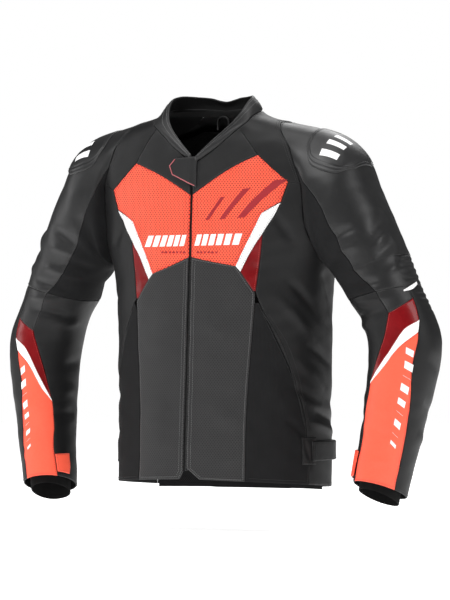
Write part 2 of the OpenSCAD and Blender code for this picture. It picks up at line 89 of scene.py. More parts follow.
# height, half width, front add, back depth, squareness, middle
bodyRows = np.array([
    [-10, 200, 0, 101, 2.35, 20], [60, 200, 0, 101, 2.35, 20], [160, 200, 0, 102, 2.35, 19],
    [260, 202, 0, 104, 2.35, 17],
    [340, 206, 0, 108, 2.35, 13], [398, 214, 0, 111, 2.3, 9], [460, 236, 0, 113, 2.3, 5], [520, 262, 0, 112, 2.2, 2],
    [570, 280, 0, 105, 2.1, 0], [600, 276, 0, 98, 2, -2], [620, 252, 0, 90, 2, -5], [637, 214, 0, 80, 2, -9],
    [652, 160, 3, 66, 2, -16], [668, 104, 5, 50, 2, -24], [690, 88, 3, 44, 2, -32], [730, 82, 0, 40, 2, -40]], float)
# inner x and z, outer x and z, half depth, middle y, lift, one row a station down the sleeve
armRows = np.array([
    [219, 401.5, 205, 642, 92, -2, 0], [220, 400, 249, 626, 92, -4, 0], [221.5, 398.5, 282, 597, 90, -6, 0],
    [223, 397, 304, 551, 87, -7, 0], [226, 394, 326, 507, 83, -7, 0], [234, 386, 347, 464, 79, -6, 0],
    [249, 366, 367, 420, 75, -3, 0], [268, 334, 389, 365, 71, 0, 0], [288, 300, 411, 317, 68, 5, 2],
    [300, 263, 428, 272, 68, 5, 4], [304, 222, 427, 222, 66, -1, 7], [304, 176, 418, 172, 62, -9, 9],
    [301, 130, 407, 122, 58, -17, 11], [297, 80, 397, 70, 55, -26, 13], [291, 30, 386, 18, 53, -33, 15],
    [287, -8, 379, -24, 51, -38, 17]], float)
armholeRows = np.array([[402, 218], [420, 212], [470, 201], [540, 200], [608, 178], [635, 160], [655, 143]], float)
neckRows = np.array([[0, 581], [14, 597], [26, 613], [36, 630], [45, 644], [60, 661], [75, 670], [90, 675],
    [120, 677], [180, 674]], float)
rimRows = np.array([[0, 592], [12, 608], [25, 625], [45, 648], [65, 672], [85, 694], [110, 704], [145, 703],
    [180, 700]], float)


def along(table, x):
    # smooth curve through the table's rows: cubic pieces, each row's slope that of the line between its neighbours
    x = np.asarray(x, float)
    k, v = table[:, 0], table[:, 1:]
    i = np.clip(np.searchsorted(k, x, side="right") - 1, 0, len(k) - 2)
    m = np.empty_like(v)
    m[1:-1] = (v[2:] - v[:-2]) / (k[2:] - k[:-2])[:, None]
    m[0], m[-1] = (v[1] - v[0]) / (k[1] - k[0]), (v[-1] - v[-2]) / (k[-1] - k[-2])
    h = (k[i + 1] - k[i])[..., None]
    t = np.clip((x - k[i])[..., None] / h, 0, 1)
    return ((2 * t ** 3 - 3 * t ** 2 + 1) * v[i] + (t ** 3 - 2 * t ** 2 + t) * h * m[i]
            + (3 * t ** 2 - 2 * t ** 3) * v[i + 1] + (t ** 3 - t ** 2) * h * m[i + 1])


def straight(table, x):
    # straight lines between the table's rows, with its first value only
    return np.interp(x, table[:, 0], table[:, 1])


def bodyDepth(q, z):
    # from the middle forward to the zip's line, which is straight
    return q[..., 4] + shape["zipDepth"] + shape["zipLean"] * (shape["zipTop"] - z) + q[..., 1]


def bodyPoint(a, z):
    # one squared ellipse a height: radius = ((sin/a)^n + (cos/b)^n)^(-1/n), b for the front and the back apart
    q = along(bodyRows, z)
    s, c = np.sin(np.radians(a)), np.cos(np.radians(a))
    n, b = q[..., 3], np.where(c > 0, bodyDepth(q, z), q[..., 2])
    r = ((np.abs(s) / q[..., 0]) ** n + (np.abs(c) / b) ** n) ** (-1 / n)
    return np.stack([r * s, q[..., 4] - r * c, np.broadcast_to(z, r.shape)], -1)


def holeAngle(z, front=True):
    # angle at which the armhole seam's distance from the middle meets the body's squared ellipse
    q = along(bodyRows, z)
    x = straight(armholeRows, z)
    u = np.clip(x / q[..., 0], 0, 1)
    b = bodyDepth(q, z) if front else -q[..., 2]
    return float(np.degrees(np.arctan2(x, b * (1 - u ** q[..., 3]) ** (1 / q[..., 3]))))


def holePoint(a):
    # the armhole seam itself, run round by an angle whose cosine gives the height
    z = shape["holeMiddle"] + shape["holeHalf"] * np.cos(np.radians(a))
    q = along(bodyRows, z)
    x = straight(armholeRows, z)
    u = np.clip(x / q[..., 0], 0, 1)
    front = np.sin(np.radians(a)) >= 0
    b = np.where(front, -bodyDepth(q, z), q[..., 2])
    return np.stack([x, q[..., 4] + b * (1 - u ** q[..., 3]) ** (1 / q[..., 3]), z], -1)


stations = 16
sleeveSquare = 2.15  # the squared circle's power


def ringPoint(k, a):
    # station k: a squared circle stretched between the inner and the outer point and the half depth
    q = armRows[np.clip(k, 1, stations) - 1]
    c, s = np.cos(np.radians(a)), np.sin(np.radians(a))
    r = (np.abs(c) ** sleeveSquare + np.abs(s) ** sleeveSquare) ** (-1 / sleeveSquare)
    ring = np.stack([(q[..., 0] + q[..., 2]) / 2 + (q[..., 2] - q[..., 0]) / 2 * r * c, q[..., 5] - q[..., 4] * r * s,
                     (q[..., 1] + q[..., 3]) / 2 + (q[..., 3] - q[..., 1]) / 2 * r * c + q[..., 6] * r * s], -1)
    return np.where((k == 0)[..., None], holePoint(a), ring)


def armPoint(a, s):
    # cubic pieces down the stations, from the armhole seam to the cuff
    a, s = np.broadcast_arrays(np.asarray(a, float), np.clip(s, 0, stations))
    k = np.clip(np.floor(s).astype(int), 0, stations - 1)
    t = (s - k)[..., None]
    before, here, after, beyond = [ringPoint(np.clip(k + d, 0, stations), a) for d in (-1, 0, 1, 2)]
    m1 = (after - before) / np.where(k > 0, 2, 1)[..., None]
    m2 = (beyond - here) / np.where(k < stations - 1, 2, 1)[..., None]
    return ((2 * t ** 3 - 3 * t ** 2 + 1) * here + (t ** 3 - 2 * t ** 2 + t) * m1
            + (3 * t ** 2 - 2 * t ** 3) * after + (t ** 3 - t ** 2) * m2)


def collarPoint(a, h):
    # straight lines from the neck seam to the rim, bowed outward by a half sine
    b = np.abs((np.asarray(a, float) + 180) % 360 - 180)
    low = bodyPoint(a, along(neckRows, b)[..., 0])
    z = along(rimRows, b)[..., 0] - shape["backDip"] * np.exp(-((b - 180) / 16) ** 2)
    s, c = np.sin(np.radians(a)), np.cos(np.radians(a))
    high = np.stack([shape["rimHalfWidth"] * s, shape["rimMiddle"] - shape["rimHalfDepth"] * c, z], -1)
    h = np.asarray(h, float)[..., None]
    return low * (1 - h) + high * h + shape["collarBow"] * np.sin(np.pi * h) * np.stack([s, -c, 0 * s], -1)


def facePoint(m, a, v):
    # 0 the body, 1 the left sleeve, 2 the right sleeve, 3 the collar
    if m == 0:
        return bodyPoint(a, v)
    if m == 3:
        return collarPoint(a, v)
    return armPoint(a, v) * np.array([1.0 if m == 1 else -1.0, 1, 1])


def faceOut(m, a, v):
    # outward direction: the cross product of the two ways along the surface
    e = 1.0 if m == 0 else 0.04
    n = np.cross(facePoint(m, a + 0.5, v) - facePoint(m, a - 0.5, v), facePoint(m, a, v + e) - facePoint(m, a, v - e))
    n = n / np.maximum(np.linalg.norm(n, axis=-1, keepdims=True), 1e-9)
    return -n if m == 2 else n


arcLook = {"reach": 380, "step": 4.0, "front": 95}  # degrees round, degrees a cell, the column at 0 degrees


def arcTables(m):
    # distance round and distance down over the whole face, added up cell by cell from the front line
    us = np.arange(-arcLook["reach"], arcLook["reach"] + 1, arcLook["step"])
    vs = {0: np.arange(-10, 731, 20.0), 3: np.linspace(0, 1, 6)}.get(m, np.arange(0, 16.1, 0.5))
    p = facePoint(m, *np.meshgrid(us, vs))
    du = np.linalg.norm(np.diff(p, axis=1), axis=-1)
    cu = np.concatenate([np.zeros((len(vs), 1)), np.cumsum(du, axis=1)], 1)
    cu = cu - cu[:, [arcLook["front"]]]
    dv = np.linalg.norm(np.diff(p, axis=0), axis=-1).mean(1)
    return us, vs, cu, np.concatenate([[0], np.cumsum(dv)])


arcs = {m: arcTables(m) for m in (0, 1, 3)}


def flatPlace(m, a, v):
    # where a point lies on the leather when the face is rolled out flat, in mm
    us, vs, cu, cv = arcs[1 if m == 2 else m]
    i = np.clip((a - us[0]) / arcLook["step"], 0, len(us) - 1.001)
    j = np.clip(np.interp(v, vs, np.arange(len(vs))), 0, len(vs) - 1.001)
    i0, j0 = i.astype(int), j.astype(int)
    fi, fj = i - i0, j - j0
    u = ((cu[j0, i0] * (1 - fi) + cu[j0, i0 + 1] * fi) * (1 - fj)
         + (cu[j0 + 1, i0] * (1 - fi) + cu[j0 + 1, i0 + 1] * fi) * fj)
    return u, np.interp(v, vs, cv)


# folds and puckers
waves = {}


def ripple(p, size, seed):
    # six sine waves in different directions, added: smooth and the same for neighbouring panels
    if (size, seed) not in waves:
        r = np.random.RandomState(seed)
        d = r.normal(size=(6, 3))
        d = d / np.linalg.norm(d, axis=1)[:, None] * (2 * np.pi / size) * r.uniform(0.7, 1.5, 6)[:, None]
        waves[(size, seed)] = (d, r.uniform(0, 6.28, 6))
    d, f = waves[(size, seed)]
    return np.sin(p @ d.T + f).sum(-1) / 3.2


# face, from angle and place, to angle and place, width in mm, height in mm
creases = [
    (0, 64, 372, 84, 300, 9, -3.2), (0, 58, 345, 80, 262, 10, 2.6), (0, 84, 392, 100, 300, 11, -3.0),
    (0, 72, 262, 98, 214, 9, -2.4), (0, 66, 236, 88, 176, 11, 2.4), (0, 60, 190, 86, 150, 9, -2.6),
    (0, 78, 140, 104, 116, 8, -3.4), (0, 74, 122, 102, 98, 7, 2.8), (0, 60, 128, 74, 92, 7, -2.8),
    (0, 50, 210, 66, 110, 14, 2.6), (0, 70, 98, 76, 40, 5, -2.6), (0, 96, 160, 118, 120, 11, -2.6),
    (0, -64, 372, -84, 300, 9, -3.0), (0, -84, 392, -100, 300, 11, -3.0), (0, -72, 262, -98, 214, 9, -2.4),
    (0, -66, 236, -88, 170, 11, 2.4), (0, -60, 180, -82, 140, 9, -2.4), (0, -76, 126, -102, 100, 8, -3.2),
    (0, -60, 118, -74, 86, 7, -2.6), (0, -96, 160, -118, 120, 11, -2.6), (0, 150, 300, 205, 280, 16, 2.4),
    (0, 155, 250, 210, 240, 14, -2.2), (0, 122, 180, 170, 150, 16, -2.4), (0, 238, 180, 192, 150, 16, -2.4),
    (0, 128, 110, 160, 92, 12, 2.2), (0, 232, 110, 200, 92, 12, 2.2), (0, 115, 360, 140, 300, 14, -2.8),
    (0, 245, 360, 220, 300, 14, -2.8), (0, 15, 150, 34, 120, 16, 1.5), (0, -15, 150, -34, 110, 16, 1.5),
    (0, 14, 300, 38, 262, 22, 1.8), (0, -12, 300, -38, 250, 22, 1.8), (0, 56, 500, 66, 440, 10, -2.4),
    (0, -56, 490, -66, 430, 10, -2.4)]
for side in (1, 2):
    creases += [
        (side, 60, 5.4, 118, 4.6, 8, -3.4), (side, 70, 6.1, 130, 5.5, 8, 3.0),
        (side, 96, 6.6, 150, 5.9, 8, -3.4), (side, 76, 7.1, 140, 6.9, 7, 2.8),
        (side, 62, 7.7, 132, 7.6, 7, -4.2), (side, 66, 8.3, 128, 8.2, 7, 3.2),
        (side, 80, 8.8, 150, 8.9, 7, -3.6), (side, 120, 9.4, 170, 9.2, 8, 2.6),
        (side, 2, 5.2, 44, 6.0, 14, -2.4), (side, 10, 6.4, 56, 7.0, 10, -2.6), (side, 20, 6.0, 50, 6.5, 9, 2.0),
        (side, 20, 7.3, 50, 7.5, 7, 2.2), (side, -10, 6.7, 30, 7.5, 8, -2.6),
        (side, 200, 8.0, 250, 7.7, 12, 2.4), (side, 190, 7.2, 240, 6.9, 12, -2.6),
        (side, 186, 5.4, 230, 5.0, 12, -2.4), (side, 96, 2.6, 150, 2.0, 11, -3.2),
        (side, 104, 3.6, 160, 3.1, 11, 2.6), (side, 100, 4.3, 160, 3.9, 9, -2.6),
        (side, 150, 11.2, 200, 10.9, 10, -2.2), (side, 140, 12.4, 190, 12.0, 10, 1.8),
        (side, 130, 13.2, 190, 13.0, 9, -2.2), (side, -40, 12.6, 10, 12.3, 10, -2.0),
        (side, -50, 13.6, 5, 13.4, 9, 1.8), (side, -30, 11.2, 24, 10.8, 12, -1.8),
        (side, 60, 12.7, 110, 12.9, 12, 1.2), (side, 60, 13.7, 112, 13.6, 10, -1.3),
        (side, 40, 14.6, 100, 14.7, 8, 1.0)]


foldLook = {"strength": 1.35, "broad": 0.75, "fine": 0.28}


def creaseLines():
    # each fold as a run of points on its face, in mm
    lines = []
    for m, a0, v0, a1, v1, width, height in creases:
        t = np.linspace(0, 1, 9)
        lines.append((m, facePoint(m, a0 + (a1 - a0) * t, v0 + (v1 - v0) * t), width, height))
    return lines


foldLines = creaseLines()


def foldHeight(m, p, a, v):
    # every fold lifts or presses the leather by height times exp(-(distance/width)^2), fading at its two ends
    out = foldLook["broad"] * ripple(p, 95.0, 3) + foldLook["fine"] * ripple(p, 34.0, 4)
    flat = p.reshape(-1, 3)
    total = np.zeros(len(flat))
    for face, line, width, height in foldLines:
        if face != m:
            continue
        low, high = line.min(0) - 2.6 * width, line.max(0) + 2.6 * width
        near = np.nonzero(((flat > low) & (flat < high)).all(1))[0]
        if not len(near):
            continue
        q = flat[near][:, None, :] - line[None, :-1, :]
        d = (line[1:] - line[:-1])[None]
        t = np.clip((q * d).sum(-1) / (d * d).sum(-1), 0, 1)
        gap = np.linalg.norm(q - t[..., None] * d, axis=-1)
        best = gap.argmin(1)
        run = (best + t[np.arange(len(near)), best]) / (len(line) - 1)
        fade = np.clip(np.sin(np.pi * np.clip(run, 0.02, 0.98)), 0, 1) ** 0.6
        total[near] += foldLook["strength"] * height * np.exp(-(gap.min(1) / width) ** 2) * fade
    if m == 0:
        calm = np.clip((straight(armholeRows, v) - np.abs(p[..., 0])) / 26, 0, 1) * (v > 402)
        calm = calm + (v <= 402) * np.clip((414 - v) / 16, 0.25, 1)
        calm = np.maximum(calm, (v > 402) & (np.abs((a + 180) % 360 - 180) < 40))
    elif m == 3:
        calm = 0.5 * np.ones_like(p[..., 0])
    else:
        calm = np.clip(v / 0.8, 0, 1)
    return (out + total.reshape(p.shape[:-1])) * calm


# meshes
def addMesh(name, points, faces, uv=None, edge=None):
    # points in mm up from the back hem; the mesh is put into the shared frame in metres
    mesh = bpy.data.meshes.new(name)
    mesh.from_pydata((np.asarray(points) - home) / 1000.0, [], faces)
    mesh.polygons.foreach_set("use_smooth", np.ones(len(mesh.polygons), bool))
    if uv is not None:
        layer = mesh.uv_layers.new(name="flat")
        index = np.empty(len(mesh.loops), np.int32)
        mesh.loops.foreach_get("vertex_index", index)
        layer.data.foreach_set("uv", (np.asarray(uv)[index] / 1000.0).astype(np.float32).ravel())
    if edge is not None:
        mesh.attributes.new("edge", "FLOAT", "POINT").data.foreach_set("value", np.asarray(edge, np.float32).ravel())
    mesh.update()
    obj = bpy.data.objects.new(name, mesh)
    bpy.context.scene.collection.objects.link(obj)
    return obj


def gridFaces(rows, columns, start=0, wrap=False):
    # four-cornered faces between neighbouring points of a grid, closed round where it wraps
    j, i = np.meshgrid(np.arange(rows - 1), np.arange(columns if wrap else columns - 1), indexing="ij")
    k = (i + 1) % columns
    return np.stack([start + j * columns + i, start + (j + 1) * columns + i, start + (j + 1) * columns + k,
        start + j * columns + k], -1).reshape(-1, 4)


def smoothLine(points, corners, scale, g):
    # cubic pieces through the points of one seam line, straight where a corner is named; g counts the points
    p = np.asarray(points, float)
    c = np.concatenate([[0], np.cumsum(np.maximum(np.linalg.norm(np.diff(p, axis=0) * scale, axis=1), 1e-6))])
    n = len(p)
    k = np.clip(np.floor(g).astype(int), 0, n - 2)
    t = (g - k)[:, None]
    h = (c[k + 1] - c[k])[:, None]
    line = (p[1:] - p[:-1]) / (c[1:] - c[:-1])[:, None]
    mid = np.array([line[0]] + [(p[i + 1] - p[i - 1]) / (c[i + 1] - c[i - 1]) for i in range(1, n - 1)] + [line[-1]])
    sharp = np.zeros(n, bool)
    sharp[list(corners)] = True
    m0 = np.where(sharp[k][:, None], line[k], mid[k])
    m1 = np.where(sharp[k + 1][:, None], line[k], mid[k + 1])
    return ((2 * t ** 3 - 3 * t ** 2 + 1) * p[k] + (t ** 3 - 2 * t ** 2 + t) * h * m0
            + (3 * t ** 2 - 2 * t ** 3) * p[k + 1] + (t ** 3 - t ** 2) * h * m1)


nearEdge = np.array([0, 0.45, 1.0, 1.7, 2.6, 4.0])


def panel(name, m, rows, corners=((), ()), height=0.0, thick=2.2, step=3.8, roll=2.6, drop=1.5, gap=0.12,
          openEnds=(False, False), folds=True, form=None, pucker=0.3):
    # a sewn piece: straight lines across between two smooth seam lines, rolled down into the seams, closed underneath
    rows = np.asarray(rows, float)
    left, right = rows[:, :2], rows[:, 2:]
    scale = {0: (3.2, 1.0), 3: (1.4, 55.0)}.get(m, (1.4, 45.0))
    kp = facePoint(m, (left[:, 0] + right[:, 0]) / 2, (left[:, 1] + right[:, 1]) / 2)
    kl, kr = facePoint(m, left[:, 0], left[:, 1]), facePoint(m, right[:, 0], right[:, 1])
    run = np.maximum.reduce([np.linalg.norm(np.diff(q, axis=0), axis=1) for q in (kp, kl, kr)])
    c = np.concatenate([[0], np.cumsum(run)])
    near = nearEdge * min(1.0, c[-1] / 14.0)
    even = np.linspace(near[-1], c[-1] - near[-1], max(2, int(math.ceil((c[-1] - 2 * near[-1]) / step)) + 1))
    even = even[1:-1][np.abs(even[1:-1][:, None] - c[None, 1:-1]).min(1) > 0.9] if len(c) > 2 else even[1:-1]
    inner = c[1:-1][(c[1:-1] > near[-1] + 0.5) & (c[1:-1] < c[-1] - near[-1] - 0.5)]
    dist = np.unique(np.concatenate([near, even, inner, c[-1] - near]))
    inset = np.clip(dist, gap if not openEnds[0] else 0, c[-1] - (gap if not openEnds[1] else 0))
    g = np.clip(np.interp(inset, c, np.arange(len(c))), 0, len(c) - 1 - 1e-9)
    le, ri = smoothLine(left, corners[0], scale, g), smoothLine(right, corners[1], scale, g)
    f9 = np.linspace(0, 1, 13)
    across = facePoint(m, le[:, :1] * (1 - f9) + ri[:, :1] * f9, le[:, 1:] * (1 - f9) + ri[:, 1:] * f9)
    width = np.linalg.norm(np.diff(across, axis=1), axis=-1).sum(1)
    squeeze = np.minimum(1.0, width / 14.0)[:, None]
    count = max(1, int(math.ceil((width.max() - 8) / step)))
    middle = np.linspace(0, 1, count + 1)[None, 1:-1]
    lo = nearEdge[None] * squeeze
    w = width[:, None]
    d = np.concatenate([lo, lo[:, -1:] + (w - 2 * lo[:, -1:]) * middle, w - lo[:, ::-1]], 1)
    f = np.clip(d, gap, w - gap) / w
    a = le[:, :1] * (1 - f) + ri[:, :1] * f
    v = le[:, 1:] * (1 - f) + ri[:, 1:] * f
    p, n = facePoint(m, a, v), faceOut(m, a, v)
    side = np.minimum(d, w - d)
    ends = np.minimum(dist if not openEnds[0] else dist + 99, (c[-1] - dist) if not openEnds[1] else dist + 99)
    ends = ends[:, None]
    e = np.minimum(side, ends)
    rolled = drop * (1 - np.sqrt(np.clip(1 - (1 - np.minimum(e, roll) / roll) ** 2, 0, 1)))
    h = height - rolled
    if folds:
        h = h + foldHeight(m, p, a, v)
    if pucker:
        h = h + pucker * ripple(p, 17.0, 8) * np.exp(-e / 7.0)
    if form is not None:
        h = h + form(d / w, (dist / c[-1])[:, None] + 0 * d, e, p, a, v)
    top = p + n * h[..., None]
    base = height - thick + (h - height + rolled) if folds else height - thick + 0 * h
    under = p + n * np.minimum(base, h - 0.15)[..., None]
    nj, ni = d.shape
    outer = gridFaces(nj, ni)
    jj, ii = nj // 2, ni // 2
    turn = np.cross(top[jj, ii] - top[jj - 1, ii], top[jj, ii] - top[jj, ii - 1]) @ n[jj, ii]
    if turn < 0:
        outer = outer[:, ::-1]
    innerFaces = outer[:, ::-1] + nj * ni
    ring = np.concatenate([np.arange(ni - 1), np.arange(nj - 1) * ni + ni - 1, (nj - 1) * ni + np.arange(ni - 1, 0,
        -1), np.arange(nj - 1, 0, -1) * ni])
    nxt = np.roll(ring, -1)
    wall = np.stack([ring, nxt, nxt + nj * ni, ring + nj * ni], -1)
    if turn < 0:
        wall = wall[:, ::-1]
    u1, v1 = flatPlace(m, a, v)
    uv = np.stack([u1, v1], -1).reshape(-1, 2)
    edge = np.exp(-e / 2.2).ravel()
    obj = addMesh(name, np.concatenate([top.reshape(-1, 3), under.reshape(-1, 3)]),
                  np.concatenate([outer, innerFaces, wall]).tolist(), np.concatenate([uv, uv]),
                  np.concatenate([edge, edge]))
    return {"obj": obj, "top": top, "out": n, "d": d, "w": w, "dist": dist, "length": c[-1], "face": m}


def edgeLine(piece, side, inset):
    # points at a set distance from one edge of a panel, with the outward direction at each
    top, out = piece["top"], piece["out"]
    if side in "LR":
        want = np.full(len(top), float(inset)) if side == "L" else piece["w"][:, 0] - inset
        clear = inset * 0.8
        keep = (piece["dist"] > clear) & (piece["dist"] < piece["length"] - clear)
        keep = keep & (piece["w"][:, 0] > inset * 2 + 1)
        rows = np.nonzero(keep)[0]
        pick = lambda grid, j: [np.interp(want[j], piece["d"][j], grid[j, :, k]) for k in range(3)]
        return np.array([pick(top, j) for j in rows]), np.array([pick(out, j) for j in rows])
    want = inset if side == "S" else piece["length"] - inset
    i = np.clip(np.searchsorted(piece["dist"], want) - 1, 0, len(top) - 2)
    t = (want - piece["dist"][i]) / (piece["dist"][i + 1] - piece["dist"][i])
    line, o = top[i] * (1 - t) + top[i + 1] * t, out[i]
    w = piece["w"][i, 0]
    ok = (piece["d"][i] > inset * 0.8) & (piece["d"][i] < w - inset * 0.8)
    return line[ok], o[ok]


stitchBag = {}


def stitch(group, line, out, pitch=3.4, long=2.5, wide=0.8):
    # a run of thread: one small capsule a pitch along the line, its ends dipping into the leather
    if len(line) < 3:
        return
    c = np.concatenate([[0], np.cumsum(np.linalg.norm(np.diff(line, axis=0), axis=1))])
    if c[-1] < pitch * 2:
        return
    at = np.arange(pitch / 2, c[-1], pitch)
    place = lambda x: np.stack([np.interp(x, c, line[:, k]) for k in range(3)], -1)
    centre, t = place(at), place(np.minimum(at + 0.8, c[-1])) - place(np.maximum(at - 0.8, 0))
    o = np.stack([np.interp(at, c, out[:, k]) for k in range(3)], -1)
    t = t / np.maximum(np.linalg.norm(t, axis=1, keepdims=True), 1e-9)
    b = np.cross(o, t)
    b = b / np.maximum(np.linalg.norm(b, axis=1, keepdims=True), 1e-9)
    o = np.cross(t, b)
    ends = np.array([-1, -0.62, 0, 0.62, 1]) * long / 2
    rise = np.array([-0.3, 0.22, 0.38, 0.22, -0.3])
    fat = np.array([0.3, 0.85, 1, 0.85, 0.3]) * wide / 2
    turn = np.arange(6) * np.pi / 3
    x = np.repeat(ends, 6)
    y = (fat[:, None] * np.cos(turn)).ravel()
    z = (rise[:, None] + 0.75 * fat[:, None] * np.sin(turn)).ravel()
    points = centre[:, None] + x[None, :, None] * t[:, None] + y[None, :, None] * b[:, None]
    points = points + z[None, :, None] * o[:, None]
    stitchBag.setdefault(group, []).append(points)


def stitchObjects():
    # each group's stitches joined into one mesh; one stitch is four rings of six faces and two ends
    made = {}
    one = gridFaces(5, 6, wrap=True)[:, ::-1]
    caps = [list(range(6)), list(range(29, 23, -1))]
    for group, runs in stitchBag.items():
        points = np.concatenate(runs)
        shift = (np.arange(len(points)) * 30)[:, None, None]
        quads = (one[None] + shift).reshape(-1, 4).tolist()
        closed = (np.array(caps)[None] + shift).reshape(-1, 6).tolist()
        made[group] = addMesh("stitches_" + group, points.reshape(-1, 3), quads + closed)
    return made


def tube(name, line, out, wide, tall, sides=10, taper=True, closed=False):
    # an oval profile carried along a line, thinned to a point at its two ends
    line, out = np.asarray(line, float), np.asarray(out, float)
    t = np.roll(line, -1, 0) - np.roll(line, 1, 0) if closed else np.gradient(line, axis=0)
    t = t / np.linalg.norm(t, axis=1, keepdims=True)
    b = np.cross(out, t)
    b = b / np.linalg.norm(b, axis=1, keepdims=True)
    o = np.cross(t, b)
    k = np.linspace(0, 1, len(line))
    fat = np.ones(len(line))
    if taper and not closed:
        fat = np.clip(np.minimum(k, 1 - k) * len(line) / 1.5, 0.04, 1) ** 0.5
    turn = np.arange(sides) * 2 * np.pi / sides
    ring = (line[:, None] + (wide / 2 * fat)[:, None, None] * np.cos(turn)[None, :, None] * b[:, None]
            + (tall / 2 * fat)[:, None, None] * np.sin(turn)[None, :, None] * o[:, None])
    faces = gridFaces(len(line), sides, wrap=True)[:, ::-1].tolist()
    if closed:
        last = (len(line) - 1) * sides
        i = np.arange(sides)
        faces += np.stack([last + i, last + (i + 1) % sides, (i + 1) % sides, i], -1).tolist()
    else:
        faces += [list(range(sides)), list(range(len(line) * sides - 1, (len(line) - 1) * sides - 1, -1))]
    s = np.concatenate([[0], np.cumsum(np.linalg.norm(np.diff(line, axis=0), axis=1))])
    uv = np.stack([np.tile(turn * wide / 2, len(line)), np.repeat(s, sides)], -1)
    return addMesh(name, ring.reshape(-1, 3), faces, uv)


def trace(m, points, lift, count=40):
    # a line on a face through angle and place pairs, lifted off the leather with the folds under it
    p = np.asarray(points, float)
    g = np.linspace(0, len(p) - 1 - 1e-9, count)
    q = smoothLine(p, (), (3.2, 1.0) if m == 0 else (1.4, 45.0), g)
    base, out = facePoint(m, q[:, 0], q[:, 1]), faceOut(m, q[:, 0], q[:, 1])
    return base + out * (foldHeight(m, base, q[:, 0], q[:, 1]) + lift)[:, None], out


print("surfaces ready")

# materials
def addNode(tree, kind, **values):
    node = tree.nodes.new(kind)
    for key, value in values.items():
        if key == "ins":
            for k, x in value.items():
                if isinstance(x, bpy.types.NodeSocket):
                    tree.links.new(x, node.inputs[k])
                else:
                    node.inputs[k].default_value = x
        else:
            setattr(node, key, value)
    return node


def calc(tree, operation, *args):
    # one Math node on numbers or sockets
    return addNode(tree, "ShaderNodeMath", operation=operation, ins=dict(enumerate(args))).outputs[0]


def blendColour(tree, share, a, b, kind="MIX"):
    # one Mix node between two colours or sockets
    node = addNode(tree, "ShaderNodeMix", data_type="RGBA", blend_type=kind, ins={0: share, 6: a, 7: b})
    return node.outputs[2]


def newGroup(name, inputs, outputs):
    # a node group with its named inputs and outputs
    tree = bpy.data.node_groups.new(name, "ShaderNodeTree")
    for n, kind, value in inputs:
        s = tree.interface.new_socket(n, in_out="INPUT", socket_type=kind)
        if value is not None:
            s.default_value = value
    for n, kind in outputs:
        tree.interface.new_socket(n, in_out="OUTPUT", socket_type=kind)
    return tree, tree.nodes.new("NodeGroupInput"), tree.nodes.new("NodeGroupOutput")


def grainGroup():
    # pebbles of leather: small Voronoi cells over bigger ones, pulled out of line by noise
    tree, i, o = newGroup("leatherGrain", [("Vector", "NodeSocketVector", None), ("Pebble Scale", "NodeSocketFloat",
        620.0),
                                           ("Blotch", "NodeSocketFloat", 0.5)], [("Height", "NodeSocketFloat"),
                                           ("Tone", "NodeSocketFloat")])
    warp = addNode(tree, "ShaderNodeTexNoise", ins={"Vector": i.outputs[0], "Scale": 160.0, "Detail": 2.0})
    pulled = addNode(tree, "ShaderNodeVectorMath", operation="MULTIPLY_ADD", ins={0: warp.outputs["Color"],
        1: (0.0022,) * 3, 2: i.outputs[0]})
    small = addNode(tree, "ShaderNodeTexVoronoi", feature="SMOOTH_F1", ins={"Vector": pulled.outputs[0],
        "Scale": i.outputs[1]})
    big = addNode(tree, "ShaderNodeTexVoronoi", feature="SMOOTH_F1", ins={"Vector": pulled.outputs[0],
        "Scale": calc(tree, "MULTIPLY", i.outputs[1], 0.37)})
    soft = addNode(tree, "ShaderNodeTexNoise", ins={"Vector": i.outputs[0], "Scale": 9.0, "Detail": 4.0,
        "Roughness": 0.6})
    h = calc(tree, "ADD", calc(tree, "MULTIPLY", small.outputs["Distance"], 0.6),
        calc(tree, "MULTIPLY", big.outputs["Distance"], 0.5))
    tree.links.new(h, o.inputs[0])
    t = calc(tree, "ADD", calc(tree, "MULTIPLY", calc(tree, "SUBTRACT", soft.outputs[0], 0.5), i.outputs[2]),
        calc(tree, "MULTIPLY", h, 0.35))
    tree.links.new(calc(tree, "ADD", t, 0.35), o.inputs[1])
    return tree


def perforationGroup():
    # round holes in staggered rows on the flat leather: distance to the cell's middle against the hole's radius
    tree, i, o = newGroup("perforation", [("Flat Place", "NodeSocketVector", None), ("Pitch", "NodeSocketFloat",
        0.005),
                                          ("Radius", "NodeSocketFloat", 0.22)], [("Hole", "NodeSocketFloat")])
    part = addNode(tree, "ShaderNodeSeparateXYZ", ins={0: i.outputs[0]})
    u = calc(tree, "DIVIDE", part.outputs[0], i.outputs[1])
    v = calc(tree, "DIVIDE", part.outputs[1], calc(tree, "MULTIPLY", i.outputs[1], 0.62))
    row = calc(tree, "FLOOR", v)
    u = calc(tree, "ADD", u, calc(tree, "MULTIPLY", row, 0.5))
    x = calc(tree, "SUBTRACT", calc(tree, "FRACT", u), 0.5)
    y = calc(tree, "MULTIPLY", calc(tree, "SUBTRACT", calc(tree, "FRACT", v), 0.5), 0.62)
    r = calc(tree, "SQRT", calc(tree, "ADD", calc(tree, "MULTIPLY", x, x), calc(tree, "MULTIPLY", y, y)))
    hole = addNode(tree, "ShaderNodeMapRange", interpolation_type="SMOOTHSTEP",
        ins={0: r, 1: calc(tree, "MULTIPLY", i.outputs[2], 1.25), 2: calc(tree, "MULTIPLY", i.outputs[2], 0.75),
        3: 0.0, 4: 1.0})
    tree.links.new(hole.outputs[0], o.inputs[0])
    return tree


